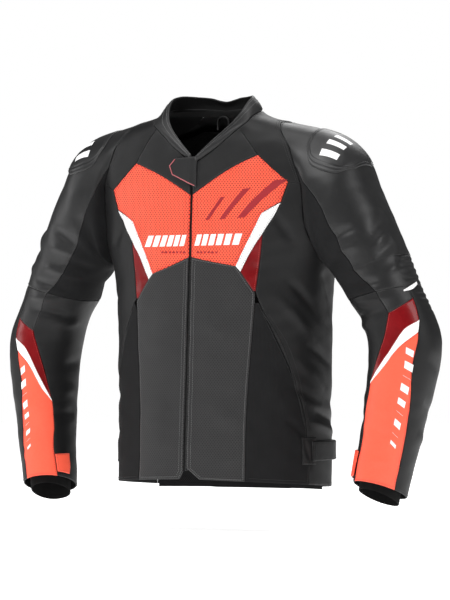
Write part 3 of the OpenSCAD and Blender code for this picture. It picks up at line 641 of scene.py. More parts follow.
def weaveGroup():
    # ribs of knitted fabric: a sine along the flat place each way, the second broken by noise
    tree, i, o = newGroup("knit", [("Flat Place", "NodeSocketVector", None), ("Ribs", "NodeSocketFloat", 900.0),
                                   ("Rows", "NodeSocketFloat", 700.0)], [("Height", "NodeSocketFloat"),
                                   ("Tone", "NodeSocketFloat")])
    part = addNode(tree, "ShaderNodeSeparateXYZ", ins={0: i.outputs[0]})
    a = calc(tree, "SINE", calc(tree, "MULTIPLY", part.outputs[0], calc(tree, "MULTIPLY", i.outputs[1], 6.283)))
    b = calc(tree, "SINE", calc(tree, "MULTIPLY", part.outputs[1], calc(tree, "MULTIPLY", i.outputs[2], 6.283)))
    n = addNode(tree, "ShaderNodeTexNoise", ins={"Vector": i.outputs[0], "Scale": 40.0, "Detail": 3.0})
    h = calc(tree, "ADD", calc(tree, "MULTIPLY", a, 0.5), calc(tree, "MULTIPLY", calc(tree, "MULTIPLY", b, a), 0.35))
    tree.links.new(h, o.inputs[0])
    tree.links.new(calc(tree, "ADD", calc(tree, "MULTIPLY", h, 0.16), n.outputs[0]), o.inputs[1])
    return tree


def wearGroup():
    # rubbed edges and dust: the edge attribute broken up by noise, and a light film of dust in patches
    tree, i, o = newGroup("wearAndDust", [("Vector", "NodeSocketVector", None), ("Edge", "NodeSocketFloat", 0.0),
                                          ("Wear", "NodeSocketFloat", 0.5), ("Dust", "NodeSocketFloat", 0.2)],
                                          [("Worn", "NodeSocketFloat"), ("Dusty", "NodeSocketFloat")])
    n = addNode(tree, "ShaderNodeTexNoise", ins={"Vector": i.outputs[0], "Scale": 60.0, "Detail": 5.0,
        "Roughness": 0.65})
    ramp = addNode(tree, "ShaderNodeMapRange", ins={0: n.outputs[0], 1: 0.38, 2: 0.68, 3: 0.0, 4: 1.0})
    tree.links.new(calc(tree, "MULTIPLY", calc(tree, "MULTIPLY", i.outputs[1], i.outputs[2]), ramp.outputs[0]),
        o.inputs[0])
    d = addNode(tree, "ShaderNodeTexNoise", ins={"Vector": i.outputs[0], "Scale": 14.0, "Detail": 6.0,
        "Roughness": 0.7})
    patch = addNode(tree, "ShaderNodeMapRange", ins={0: d.outputs[0], 1: 0.45, 2: 0.8, 3: 0.0, 4: 1.0})
    tree.links.new(calc(tree, "MULTIPLY", patch.outputs[0], i.outputs[3]), o.inputs[1])
    return tree


grain, holes, knit, wear = grainGroup(), perforationGroup(), weaveGroup(), wearGroup()


def startMaterial(name, roughness, **sockets):
    # a material whose even values sit on the shader's own sockets
    mat = bpy.data.materials.new(name)
    mat.use_nodes = True
    tree = mat.node_tree
    shader = tree.nodes["Principled BSDF"]
    for key, value in dict(sockets, Roughness=roughness).items():
        shader.inputs[key.replace("_", " ")].default_value = value
    where = addNode(tree, "ShaderNodeTexCoord")
    return mat, tree, shader, where


def hideMaterial(name, colour, light, roughness=0.5, perforate=0.0, radius=0.24, bump=0.25, pebble=620.0,
    worn=(0.3, 0.3, 0.3), wearShare=0.35, dust=0.1, blotch=0.5, **sockets):
    # leather: two tones over the grain, holes where it is perforated with painted shade darkening them, rubbed edges,
    # dust and a grain bump
    mat, tree, shader, where = startMaterial(name, roughness, **sockets)
    g = addNode(tree, "ShaderNodeGroup", node_tree=grain, ins={"Vector": where.outputs["Object"],
        "Pebble Scale": pebble, "Blotch": blotch})
    edge = addNode(tree, "ShaderNodeAttribute", attribute_name="edge")
    w = addNode(tree, "ShaderNodeGroup", node_tree=wear, ins={"Vector": where.outputs["Object"],
        "Edge": edge.outputs["Fac"], "Wear": wearShare, "Dust": dust})
    base = blendColour(tree, g.outputs["Tone"], (*colour, 1), (*light, 1))
    base = blendColour(tree, w.outputs["Worn"], base, (*worn, 1))
    base = blendColour(tree, w.outputs["Dusty"], base, (0.30, 0.28, 0.26, 1))
    rough = calc(tree, "ADD", calc(tree, "MULTIPLY", g.outputs["Tone"], 0.22), roughness - 0.1)
    height = g.outputs["Height"]
    if perforate:
        hole = addNode(tree, "ShaderNodeGroup", node_tree=holes, ins={"Flat Place": where.outputs["UV"],
            "Pitch": perforate, "Radius": radius}).outputs[0]
        # painted shade: each hole takes a darkened copy of the leather's colour, for the shade inside it and the dark
        # lining behind
        base = blendColour(tree, hole, base, (colour[0] * 0.18, colour[1] * 0.12, colour[2] * 0.12, 1))
        height = calc(tree, "SUBTRACT", height, calc(tree, "MULTIPLY", hole, 2.5))
    rough = calc(tree, "ADD", rough, calc(tree, "MULTIPLY", w.outputs["Worn"], 0.15))
    tree.links.new(base, shader.inputs["Base Color"])
    tree.links.new(rough, shader.inputs["Roughness"])
    b = addNode(tree, "ShaderNodeBump", ins={"Height": height, "Strength": bump, "Distance": 0.0004})
    tree.links.new(b.outputs[0], shader.inputs["Normal"])
    return mat


def clothMaterial(name, colour, light, ribs=900.0, rows=700.0, roughness=0.85, bump=0.4, perforate=0.0, radius=0.3,
    **sockets):
    # knitted or woven cloth: ribs from the flat place, a soft change of tone, open holes where it is a mesh, darkened
    # with painted shade
    mat, tree, shader, where = startMaterial(name, roughness, **sockets)
    k = addNode(tree, "ShaderNodeGroup", node_tree=knit, ins={"Flat Place": where.outputs["UV"], "Ribs": ribs,
        "Rows": rows})
    base = blendColour(tree, k.outputs["Tone"], (*colour, 1), (*light, 1))
    height = k.outputs["Height"]
    if perforate:
        hole = addNode(tree, "ShaderNodeGroup", node_tree=holes, ins={"Flat Place": where.outputs["UV"],
            "Pitch": perforate, "Radius": radius}).outputs[0]
        # painted shade: each mesh hole takes a darkened copy of the cloth's colour, for the shade inside it and the
        # dark leather behind
        base = blendColour(tree, hole, base, (colour[0] * 0.3, colour[1] * 0.3, colour[2] * 0.3, 1))
        height = calc(tree, "SUBTRACT", height, calc(tree, "MULTIPLY", hole, 2.0))
    tree.links.new(base, shader.inputs["Base Color"])
    tree.links.new(calc(tree, "ADD", calc(tree, "MULTIPLY", k.outputs["Tone"], 0.15), roughness - 0.08),
        shader.inputs["Roughness"])
    b = addNode(tree, "ShaderNodeBump", ins={"Height": height, "Strength": bump, "Distance": 0.0004})
    tree.links.new(b.outputs[0], shader.inputs["Normal"])
    return mat


def hardMaterial(name, colour, light, roughness=0.4, metal=0.0, scale=180.0, bump=0.1, wearShare=0.3,
    worn=(0.35, 0.35, 0.35), **sockets):
    # moulded plastic, rubber or metal: fine stipple, drifting tone and rubbed patches
    mat, tree, shader, where = startMaterial(name, roughness, Metallic=metal, **sockets)
    fine = addNode(tree, "ShaderNodeTexNoise", ins={"Vector": where.outputs["Object"], "Scale": scale * 8,
        "Detail": 3.0})
    slow = addNode(tree, "ShaderNodeTexNoise", ins={"Vector": where.outputs["Object"], "Scale": scale / 4,
        "Detail": 5.0})
    edge = addNode(tree, "ShaderNodeAttribute", attribute_name="edge")
    w = addNode(tree, "ShaderNodeGroup", node_tree=wear, ins={"Vector": where.outputs["Object"],
        "Edge": edge.outputs["Fac"], "Wear": wearShare, "Dust": 0.08})
    base = blendColour(tree, slow.outputs[0], (*colour, 1), (*light, 1))
    base = blendColour(tree, w.outputs["Worn"], base, (*worn, 1))
    tree.links.new(base, shader.inputs["Base Color"])
    tree.links.new(calc(tree, "ADD", calc(tree, "MULTIPLY", slow.outputs[0], 0.25), roughness - 0.12),
        shader.inputs["Roughness"])
    b = addNode(tree, "ShaderNodeBump", ins={"Height": fine.outputs[0], "Strength": bump, "Distance": 0.0003})
    tree.links.new(b.outputs[0], shader.inputs["Normal"])
    return mat


blackLeather = hideMaterial("blackLeather", (0.005, 0.005, 0.0053), (0.012, 0.012, 0.0124), roughness=0.5,
    Specular_IOR_Level=0.22, worn=(0.05, 0.05, 0.05), dust=0.01)
charcoalLeather = hideMaterial("charcoalLeather", (0.007, 0.007, 0.0073), (0.017, 0.017, 0.0175), roughness=0.42,
    Specular_IOR_Level=0.36, worn=(0.07, 0.07, 0.07), dust=0.01)
perforatedCharcoal = hideMaterial("perforatedCharcoal", (0.015, 0.015, 0.0154), (0.030, 0.030, 0.0308),
    roughness=0.52, perforate=0.0052, radius=0.2, Specular_IOR_Level=0.3, worn=(0.08, 0.08, 0.08), dust=0.02)
perforatedRed = hideMaterial("perforatedRed", (0.86, 0.075, 0.035), (1.0, 0.125, 0.065), roughness=0.5,
    perforate=0.0056, radius=0.21, worn=(0.55, 0.03, 0.02), wearShare=0.8, dust=0.03, Specular_IOR_Level=0.3)
plainRed = hideMaterial("plainRed", (0.88, 0.085, 0.042), (1.0, 0.14, 0.075), roughness=0.48, worn=(0.6, 0.03, 0.02),
    wearShare=0.7, dust=0.03, Specular_IOR_Level=0.3)
whiteLeather = hideMaterial("whiteLeather", (0.86, 0.86, 0.86), (0.96, 0.96, 0.96), roughness=0.5, perforate=0.0064,
    radius=0.1, bump=0.12, worn=(0.7, 0.68, 0.66), wearShare=0.3, dust=0.02, Specular_IOR_Level=0.3)
plainWhite = hideMaterial("plainWhite", (0.86, 0.86, 0.86), (0.96, 0.96, 0.96), roughness=0.45, bump=0.15,
    worn=(0.7, 0.68, 0.66), wearShare=0.3, dust=0.02, Specular_IOR_Level=0.3)
crimsonGloss = hideMaterial("crimsonGloss", (0.09, 0.0005, 0.0015), (0.22, 0.0015, 0.004), roughness=0.34,
    worn=(0.08, 0.004, 0.004), bump=0.5, pebble=260.0, blotch=1.6, dust=0.0, Specular_IOR_Level=0.2,
    Coat_Weight=0.25, Coat_Roughness=0.14)
yokeLeather = hideMaterial("yokeLeather", (0.006, 0.006, 0.0062), (0.014, 0.014, 0.0144), roughness=0.5,
    Specular_IOR_Level=0.28, worn=(0.06, 0.06, 0.06), dust=0.02)
stretchBlack = clothMaterial("stretchBlack", (0.005, 0.005, 0.0053), (0.012, 0.012, 0.0126), ribs=420.0, rows=300.0,
    roughness=0.8, Specular_IOR_Level=0.15)
collarLeather = hideMaterial("collarLeather", (0.008, 0.008, 0.0083), (0.018, 0.018, 0.0185), roughness=0.45,
    Specular_IOR_Level=0.3, worn=(0.08, 0.08, 0.08), dust=0.02)
collarInside = clothMaterial("collarInside", (0.004, 0.004, 0.004), (0.010, 0.010, 0.010), ribs=600.0, rows=600.0,
    roughness=0.95, Specular_IOR_Level=0.1)
liningMesh = clothMaterial("liningMesh", (0.008, 0.008, 0.0085), (0.022, 0.022, 0.023), ribs=500.0, rows=500.0,
    perforate=0.004, radius=0.26, Specular_IOR_Level=0.15)
tapeCloth = clothMaterial("tapeCloth", (0.008, 0.008, 0.008), (0.018, 0.018, 0.018), ribs=1200.0, rows=500.0)
threadBlack = clothMaterial("threadBlack", (0.010, 0.010, 0.010), (0.022, 0.022, 0.022), ribs=2500.0, rows=1800.0,
    roughness=0.6)
threadGrey = clothMaterial("threadGrey", (0.11, 0.11, 0.11), (0.18, 0.18, 0.18), ribs=2500.0, rows=1800.0,
    roughness=0.6)
threadRed = clothMaterial("threadRed", (0.42, 0.025, 0.02), (0.55, 0.04, 0.03), ribs=2500.0, rows=1800.0,
    roughness=0.6)
whitePrint = hardMaterial("whitePrint", (0.82, 0.82, 0.82), (0.93, 0.93, 0.93), roughness=0.5, scale=90.0,
    worn=(0.6, 0.5, 0.48))
crimsonPrint = hardMaterial("crimsonPrint", (0.24, 0.003, 0.008), (0.34, 0.006, 0.012), roughness=0.5, scale=90.0,
    worn=(0.22, 0.01, 0.01))
dustyTrim = hideMaterial("dustyTrim", (0.30, 0.06, 0.07), (0.42, 0.11, 0.12), roughness=0.5)
zipTeethPlastic = hardMaterial("zipTeethPlastic", (0.012, 0.012, 0.012), (0.03, 0.03, 0.03), roughness=0.35)
gunMetal = hardMaterial("gunMetal", (0.10, 0.10, 0.105), (0.2, 0.2, 0.205), roughness=0.35, metal=1.0)
rubberBlack = hardMaterial("rubberBlack", (0.012, 0.012, 0.012), (0.028, 0.028, 0.028), roughness=0.6)
foamGrey = hardMaterial("foamGrey", (0.06, 0.065, 0.08), (0.1, 0.105, 0.12), roughness=0.75, scale=120.0, bump=0.3)
capPlastic = hardMaterial("capPlastic", (0.009, 0.009, 0.0093), (0.020, 0.020, 0.0206), roughness=0.42, scale=140.0,
    bump=0.15, worn=(0.07, 0.07, 0.07), Specular_IOR_Level=0.4)
print("materials ready")

# how each piece is finished and carried
bodies = list(frame["bodies"])
shellBody = [b for b in bodies if "shell" in b or b == "root"][0]
sideName = {1: "left", 2: "right", 0: "left"}


def carry(obj, where):
    # shell rides; shoulder and elbow pieces are only baked in place and ride on no body; a body's own name rides on it
    if where == "shoulder":
        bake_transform(obj)
    elif where == "elbow":
        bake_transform(obj)
    else:
        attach(obj, where)
    return obj


def finish(obj, material, where=shellBody, stands=()):
    # material and body of a finished piece, and the nodes it stands for, which are hidden
    obj.data.materials.clear()
    obj.data.materials.append(material)
    carry(obj, where)
    if stands:
        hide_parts(*stands)
    return obj


def sew(piece, group, **insets):
    # rows of thread along named edges, each inset from the edge by its mm
    for side, values in insets.items():
        for inset in values:
            stitch(group, *edgeLine(piece, side, inset))


def mark(w, a, z):
    # a place on the front pattern, lower on the wearer's right
    return [a, z] if w == 0 else [-a, z - shape["rightDrop"] * min(1, max(0, (z - 20) / 200))]


def plain(w, a, z):
    # a place on the body, mirrored on the wearer's right
    return [a if w == 0 else -a, z]


def zipEdge(w, z):
    # the front panels' edge: the angle at which the slot's side stands in front of the body's middle
    return [math.degrees(math.atan2(shape["zipMiddle"] + (shape["slot"] if w == 0 else -shape["slot"]), 118)), z]


def hemAt(w, a):
    # the hem's height: a cosine round the body, highest in front
    return plain(w, a, 5 + 13 * math.cos(math.radians(a)))


def hole(w, z, front=True):
    # a place on the armhole seam at a height
    return [(1 if w == 0 else -1) * holeAngle(z, front), z]


def between(a, b, t):
    # the point a share t of the way from one place to another
    return [a[0] + (b[0] - a[0]) * t, a[1] + (b[1] - a[1]) * t]


# body
frontLook = {"chamferLeft": (8.5, 38.0), "chamferRight": (-6.5, 33.0)}


def frontPanel(w):
    # the lower front: from the hem's chamfer up to the chest seam
    foot = frontLook["chamferLeft"] if w == 0 else frontLook["chamferRight"]
    rows = [[foot[0], 18.0] + hemAt(w, 38), zipEdge(w, foot[1]) + mark(w, 38.1, 30), zipEdge(w, 118) + mark(w, 39,
        118),
            zipEdge(w, 200) + mark(w, 41, 200), zipEdge(w, 270) + mark(w, 43.5, 270), zipEdge(w, 335) + mark(w, 46,
            333),
            zipEdge(w, 362) + mark(w, 46.5, 350), zipEdge(w, 392) + mark(w, 38.5, 388),
            zipEdge(w, 414) + mark(w, 35.5, 398)]
    piece = panel("frontPanel_" + sideName[w + 1], 0, rows, corners=((1,), (5, 6, 8)))
    sew(piece, "grey", L=(3.2, 9.5), R=(3.4,), S=(5.0,), E=(3.4,))
    finish(piece["obj"], perforatedCharcoal, stands=["front_panel_" + sideName[w + 1]])


def chestPanel(w):
    # the red chest: from the chest seam up to the slanted yoke seam
    rows = [zipEdge(w, 414) + mark(w, 35.5, 398), zipEdge(w, 440) + mark(w, 41.5, 430),
            zipEdge(w, 462) + mark(w, 47, 461), zipEdge(w, 482) + mark(w, 52, 492),
            zipEdge(w, 498) + mark(w, 61, 513), zipEdge(w, 510) + mark(w, 64, 548),
            zipEdge(w, 525) + mark(w, 52.5, 596)]
    piece = panel("chestPanel_" + sideName[w + 1], 0, rows, corners=((), (3, 4, 5)))
    sew(piece, "red", L=(3.2, 13.5), R=(3.2,), S=(3.2,), E=(3.2,))
    finish(piece["obj"], perforatedRed, stands=["chest_panel_" + sideName[w + 1]])


def chestTrim(w):
    # the white stripe and the dark red wedge beside the chest
    stripe = panel("chestStripe_" + sideName[w + 1], 0, [mark(w, 35.5, 398) + mark(w, 38.5, 388),
        mark(w, 41.5, 430) + mark(w, 45, 422),
                   mark(w, 47, 461) + mark(w, 52, 456), mark(w, 52, 492) + mark(w, 57.5, 486),
                   mark(w, 60.5, 510) + mark(w, 61, 511.5)],
                   corners=((3,), ()), height=0.5, step=2.6)
    wedge = panel("chestWedge_" + sideName[w + 1], 0, [mark(w, 45.5, 354) + mark(w, 46.7, 353),
        mark(w, 38.5, 388) + mark(w, 49, 388),
                  mark(w, 45, 422) + mark(w, 50.8, 422), mark(w, 51.4, 453) + mark(w, 52, 454)], corners=((1,), ()),
                  step=2.6)
    sew(stripe, "grey", L=(2.6,), R=(2.6,))
    sew(wedge, "red", R=(2.8,))
    return stripe["obj"], wedge["obj"]


def bodySide(w):
    # yoke, side front, side, shoulder and side back panels: each row is a left and a right place on the body
    name = sideName[w + 1]
    pieces = {
        "frontYoke": (panel("frontYoke_" + name, 0, [zipEdge(w, 525) + zipEdge(w, 581),
        between(zipEdge(w, 525), mark(w, 52.5, 596), 0.34) + plain(w, 20, 605),
                      between(zipEdge(w, 525), mark(w, 52.5, 596), 0.67) + plain(w, 35, 628.4),
                      mark(w, 52.5, 596) + plain(w, 45, 644)]),
                      yokeLeather, "front_yoke_", dict(S=(3.2,), L=(3.2,))),
        "sideFront": (panel("sideFront_" + name, 0, [hemAt(w, 38) + hemAt(w, 74.3), mark(w, 39, 118) + plain(w, 73,
        118), mark(w, 41, 200) + plain(w, 65.5, 200),
                      mark(w, 43.5, 270) + plain(w, 56.5, 270), mark(w, 46, 333) + plain(w, 48.5, 333)]),
                      stretchBlack, "side_front_", dict(R=(3.2,), S=(6.0,))),
        "sidePanel": (panel("sidePanel_" + name, 0, [hemAt(w, 74.3) + hemAt(w, 108), plain(w, 73, 118) + plain(w,
        108, 118), plain(w, 65.5, 200) + plain(w, 108, 190),
                      plain(w, 56.5, 270) + plain(w, 108, 235), plain(w, 48.5, 333) + plain(w, 108, 290),
                      mark(w, 46.7, 353) + plain(w, 106, 330),
                      mark(w, 49, 388) + plain(w, 101, 372), mark(w, 50.8, 422) + plain(w, 96, 396),
                      mark(w, 52, 455) + plain(w, 90, 402),
                      mark(w, 52.8, 460) + hole(w, 406), mark(w, 53.6, 465) + hole(w, 412),
                      mark(w, 54.5, 470) + hole(w, 420), mark(w, 56, 478) + hole(w, 438),
                      mark(w, 57.5, 486) + hole(w, 460), mark(w, 59.4, 499) + hole(w, 480),
                      mark(w, 61, 512) + hole(w, 500), mark(w, 62.6, 530) + hole(w, 522),
                      mark(w, 64, 548) + hole(w, 545)],
                      corners=((5,), ())), blackLeather, "side_panel_", dict(L=(3.2,), S=(6.0,))),
        "shoulderPanel": (panel("shoulderPanel_" + name, 0, [mark(w, 64, 548) + hole(w, 545),
        mark(w, 52.5, 596) + hole(w, 585), plain(w, 45, 644) + hole(w, 615),
                          plain(w, 60, 661) + hole(w, 640), plain(w, 75, 670) + hole(w, 654.5),
                          plain(w, 90, 675) + hole(w, 654.5, False),
                          plain(w, 110, 676.5) + hole(w, 640, False), plain(w, 135, 676.3) + hole(w, 612, False)],
                          corners=((1, 2), ()), gap=0.5),
                          blackLeather, "shoulder_panel_", dict(R=(3.4, 7.0),)),
        "sideBack": (panel("sideBack_" + name, 0, [hemAt(w, 108) + hemAt(w, 142), plain(w, 108, 118) + plain(w, 142,
        118), plain(w, 108, 235) + plain(w, 142, 235),
                     plain(w, 108, 290) + plain(w, 142, 285), plain(w, 106, 330) + plain(w, 142, 330),
                     plain(w, 101, 372) + plain(w, 142, 365),
                     plain(w, 96, 396) + plain(w, 142, 392), plain(w, 90, 402) + plain(w, 142, 404)]
                     + [hole(w, z, False) + plain(w, 142, 404 + (z - 403) * 0.99) for z in (405, 409, 414, 420, 432,
                     446, 462, 480, 500)], gap=0.3), charcoalLeather, "side_back_", dict(L=(3.2,), R=(3.2, 7.0),
                     S=(6.0,)))}
    for key, (piece, material, node, edges) in pieces.items():
        sew(piece, "black", **edges)
        finish(piece["obj"], material,
            stands=[node + name])


def backRibs(x, y, e, p, a, v):
    # accordion of stretch across the small of the back: a sine down the panel, faded at its sides and ends
    z = v
    share = np.clip((z - 196) / 14, 0, 1) * np.clip((258 - z) / 14, 0, 1) * np.clip(e / 10, 0, 1)
    return -1.6 * share * (1 - np.cos(2 * np.pi * (z - 196) / 10.5)) / 2


def bodyBack():
    # the back and its yoke
    back = panel("backPanel", 0, [[142, -5.2, 218, -5.2], [142, 118, 218, 118], [142, 235, 218, 235],
        [142, 330, 218, 330], [142, 440, 218, 440], [142, 500, 218, 500]],
                 form=backRibs, step=3.2)
    yokeRows = [[holeAngle(z, False), z, 360 - holeAngle(z, False), z] for z in (500, 530, 560, 588, 612)]
    yoke = panel("backYoke", 0, yokeRows + [[135, 676.3, 225, 676.3]], gap=0.4)
    sew(back, "black", L=(3.2,), R=(3.2,), S=(6.0,), E=(3.2,))
    sew(yoke, "black", S=(3.2, 7.0), L=(3.4,), R=(3.4,))
    finish(back["obj"], charcoalLeather, stands=["back_panel"])
    finish(yoke["obj"], charcoalLeather, stands=["back_yoke"])


for w in (0, 1):
    frontPanel(w)
    chestPanel(w)
    bodySide(w)
trims = [chestTrim(w) for w in (0, 1)]
for k, (material, slotName, node) in enumerate([(whiteLeather, "white_leather", "chest_stripes"),
    (crimsonGloss, "crimson_leather", "chest_wedges")]):
    for pair in trims:
        finish(pair[k], material, stands=[node])
bodyBack()
print("body panels sewn")

# collar, tab and hanger
collarLook = {"thick": 3.2, "rimRoll": 3.4}


def collar():
    # the band from neck seam to rim and its lining 3.6 mm inside, both on the collar's face
    band = panel("collarBand", 3, [[0.6, 0.02, 356.4, 0.02], [0.6, 0.5, 356.4, 0.5], [0.6, 1, 356.4, 1]],
        thick=collarLook["thick"], step=3.4, roll=collarLook["rimRoll"], drop=2.0, folds=True)
    sew(band, "grey", E=(3.0, 8.0), L=(3.0,), R=(3.0,))
    sew(band, "black", S=(3.0,))
    finish(band["obj"], collarLeather, stands=["collar_band"])
    inside = panel("collarLining", 3, [[5, 0.0, 352, 0.0], [5, 0.5, 352, 0.5], [5, 0.985, 352, 0.985]], height=-3.6,
        thick=2.0, step=4.5, roll=2.2, drop=1.0, folds=False)
    finish(inside["obj"], collarInside, stands=["collar_lining"])


def tabForm(x, y, e, p, a, v):
    # a shallow channel 5 mm in from the tab's edge, and a slope down to the leather at its sewn end
    t = np.clip((x - 0.72) / 0.28, 0, 1)
    return -0.45 * np.exp(-((e - 5.2) / 1.1) ** 2) - 5.0 * t * t * (3 - 2 * t)


def collarTab():
    # the tab over the top of the zip: a panel lifted 9 mm, with a piped edge on two sides
    rows = [[-21, 561, 3.2, 538], [-24.5, 577, 3.2, 570], [-19, 590, 3.2, 594]]
    tab = panel("collarTab", 0, rows, corners=((1,), ()), height=9.3, thick=1.8, step=2.4, folds=False, form=tabForm)
    sew(tab, "tab", R=(3.0,), E=(3.0,))
    finish(tab["obj"], charcoalLeather, "tab", stands=["collar_tab"])
    one, o1 = edgeLine(tab, "L", 2.2)
    two, o2 = edgeLine(tab, "S", 2.2)
    line, out = np.concatenate([one[::-1], two]), np.concatenate([o1[::-1], o2])
    keep = np.concatenate([[True], np.linalg.norm(np.diff(line, axis=0), axis=1) > 0.4])
    trim = tube("collarTabTrim", line[keep] + out[keep] * 0.35, out[keep], 1.9, 1.5)
    finish(trim, dustyTrim, "tab")


def strapLoop(name, centre, wide, tall, deep, thick):
    # a flat webbing carried up, over a half circle and down: the hanger loop
    t = np.linspace(0, np.pi, 25)
    line = np.concatenate([[[-wide, 0, -tall]], np.stack([-wide * np.cos(t), 0 * t, wide * np.sin(t) * 0.98], -1),
        [[wide, 0, -tall]]])
    tang = np.gradient(line, axis=0)
    tang = tang / np.linalg.norm(tang, axis=1, keepdims=True)
    out = np.cross(tang, [0, 1, 0])
    turn = np.arange(16) * np.pi / 8
    c, s = np.cos(turn), np.sin(turn)
    ring = np.stack([np.sign(c) * np.abs(c) ** 0.5 * deep / 2, np.sign(s) * np.abs(s) ** 0.6 * thick / 2], -1)
    pts = line[:, None] + ring[None, :, :1] * np.array([0, 1, 0]) + ring[None, :, 1:] * out[:, None]
    faces = gridFaces(len(line), 16, wrap=True).tolist() + [list(range(15, -1, -1)),
        list(range((len(line) - 1) * 16, len(line) * 16))]
    along1 = np.concatenate([[0], np.cumsum(np.linalg.norm(np.diff(line, axis=0), axis=1))])
    uv = np.stack([np.tile(ring[:, 0], len(line)), np.repeat(along1, 16)], -1)
    return addMesh(name, pts.reshape(-1, 3) + np.array(centre), faces, uv)


def neckTape():
    # a flat tape over the neck seam on the inside, from one side of the zip round the back to the other
    a = np.linspace(9, 349, 140)
    b = np.abs((a + 180) % 360 - 180)
    z = along(neckRows, b)[:, 0]
    out = faceOut(0, a, z)
    tape = tube("neckTape", bodyPoint(a, z - 1.5) - out * 3.4, -out, 17.0, 0.9, sides=12, taper=False)
    finish(tape, tapeCloth)


collar()
neckTape()
collarTab()
loop = strapLoop("hangerLoop", (0, 3, 656), 11.0, 13.5, 4.6, 1.9)
finish(loop, tapeCloth, stands=["hanger_loop"])
print("collar ready")

# front zip
zipLook = {"top": 580.0, "foot": 34.0, "pitch": 2.5, "tapeWidth": 12.0, "lean": math.atan(0.048)}


def zipPlace(p):
    # the zip's own frame, leaned with the front line, into the jacket's
    p = np.asarray(p, float)
    c, s = math.cos(zipLook["lean"]), math.sin(zipLook["lean"])
    y, z = p[..., 1] * c + p[..., 2] * s, -p[..., 1] * s + p[..., 2] * c
    base = np.array([shape["zipMiddle"], -106 - shape["zipLean"] * (592 - zipLook["top"]), zipLook["top"]])
    return np.stack([p[..., 0], y, z], -1) + base


def zipTeeth():
    # one moulded tooth is an eight-sided bead, waisted behind its head; the rows stand half a pitch apart
    n = int((zipLook["top"] - zipLook["foot"]) / zipLook["pitch"])
    x = np.array([0.6, 1.0, 1.7, 2.3, 3.2])
    fat = np.array([0.35, 0.95, 0.7, 1.0, 1.0])
    turn = (np.arange(8) + 0.5) * np.pi / 4
    bead = np.stack([np.repeat(x, 8), 6.2 + 1.15 * (fat[:, None] * np.sin(turn)).ravel(),
        0.82 * (fat[:, None] * np.cos(turn)).ravel()], -1)
    faces, points = [], []
    one = gridFaces(5, 8, wrap=True)
    for side in (1, -1):
        at = -3 - (np.arange(n) + (0.5 if side < 0 else 0)) * zipLook["pitch"]
        p = bead[None] * np.array([side, 1, 1]) + np.stack([0 * at, 0 * at, at], -1)[:, None]
        start = sum(len(q) for q in points)
        q = (one if side > 0 else one[:, ::-1])[None] + start + (np.arange(n) * 40)[:, None, None]
        ends = np.array([list(range(7, -1, -1)), list(range(32, 40))])
        ends = (ends if side > 0 else ends[:, ::-1])[None] + start + (np.arange(n) * 40)[:, None, None]
        faces += q.reshape(-1, 4).tolist() + ends.reshape(-1, 8).tolist()
        points.append(p.reshape(-1, 3))
    return addMesh("zipTeeth", zipPlace(np.concatenate(points)), faces)


def zipTape(side):
    # a woven strip with a corded edge: a flat oval carried straight down
    k = np.linspace(0, 1, 90)
    long = zipLook["top"] - zipLook["foot"]
    line = np.stack([side * (9.4 + 0.1 * np.sin(k * 40)), 6.2 + 0 * k, -3 - k * long * 0.995], -1)
    obj = tube("zipTape_" + ("left" if side > 0 else "right"), zipPlace(line), np.tile([0, -1.0, 0], (90, 1)),
        zipLook["tapeWidth"], 0.8, sides=14, taper=False)
    return obj


teeth = zipTeeth()
finish(teeth, zipTeethPlastic, stands=["main_zip"])
for side in (1, -1):
    finish(zipTape(side), tapeCloth)
for node, material in (("zip_slider", gunMetal), ("zip_pull", rubberBlack)):
    obj = frame["nodes"][node]
    obj = obj if isinstance(obj, bpy.types.Object) else bpy.data.objects[node]
    obj.data.materials.clear()
    obj.data.materials.append(material)
print("zip ready")

# sleeves
sleeveLook = {"edge": {1: [(0, 68), (1, 77), (2, 86), (3, 91), (4, 92), (5, 92), (6.5, 95), (7, 92.6), (7.5, 86),
    (8.0, 75)],
                       2: [(0, 68), (0.9, 84), (1.5, 97), (2.7, 109), (4, 112), (5, 113), (6.5, 112), (7, 110),
                       (7.5, 105), (8.0, 95)]},
              "elbowRibs": 9.0, "ribDepth": 1.7, "elbowRise": 46, "forearmRise": 42}


def elbowForm(x, y, e, p, a, v):
    # sewn ribs over the point of the elbow: a cosine down the sleeve, strongest on the outer side
    share = np.clip((v - 6.75) / 0.2, 0, 1) * np.clip((a + 66) / 16, 0, 1) * np.clip((26 - a) / 16, 0, 1)
    share = share * np.clip(e / 5, 0, 1)
    down = 2 * np.pi * (v - 7) * sleeveLook["elbowRise"] / sleeveLook["elbowRibs"]
    return -sleeveLook["ribDepth"] * share * (0.5 + 0.5 * np.cos(down))


def fore(m, a, s):
    # the forearm pattern, turned and lower on the wearer's right
    return [a, s] if m == 1 else [0.76 * a + 38, s + 0.85 * min(1, max(0, (15.5 - s) / 3.5))]


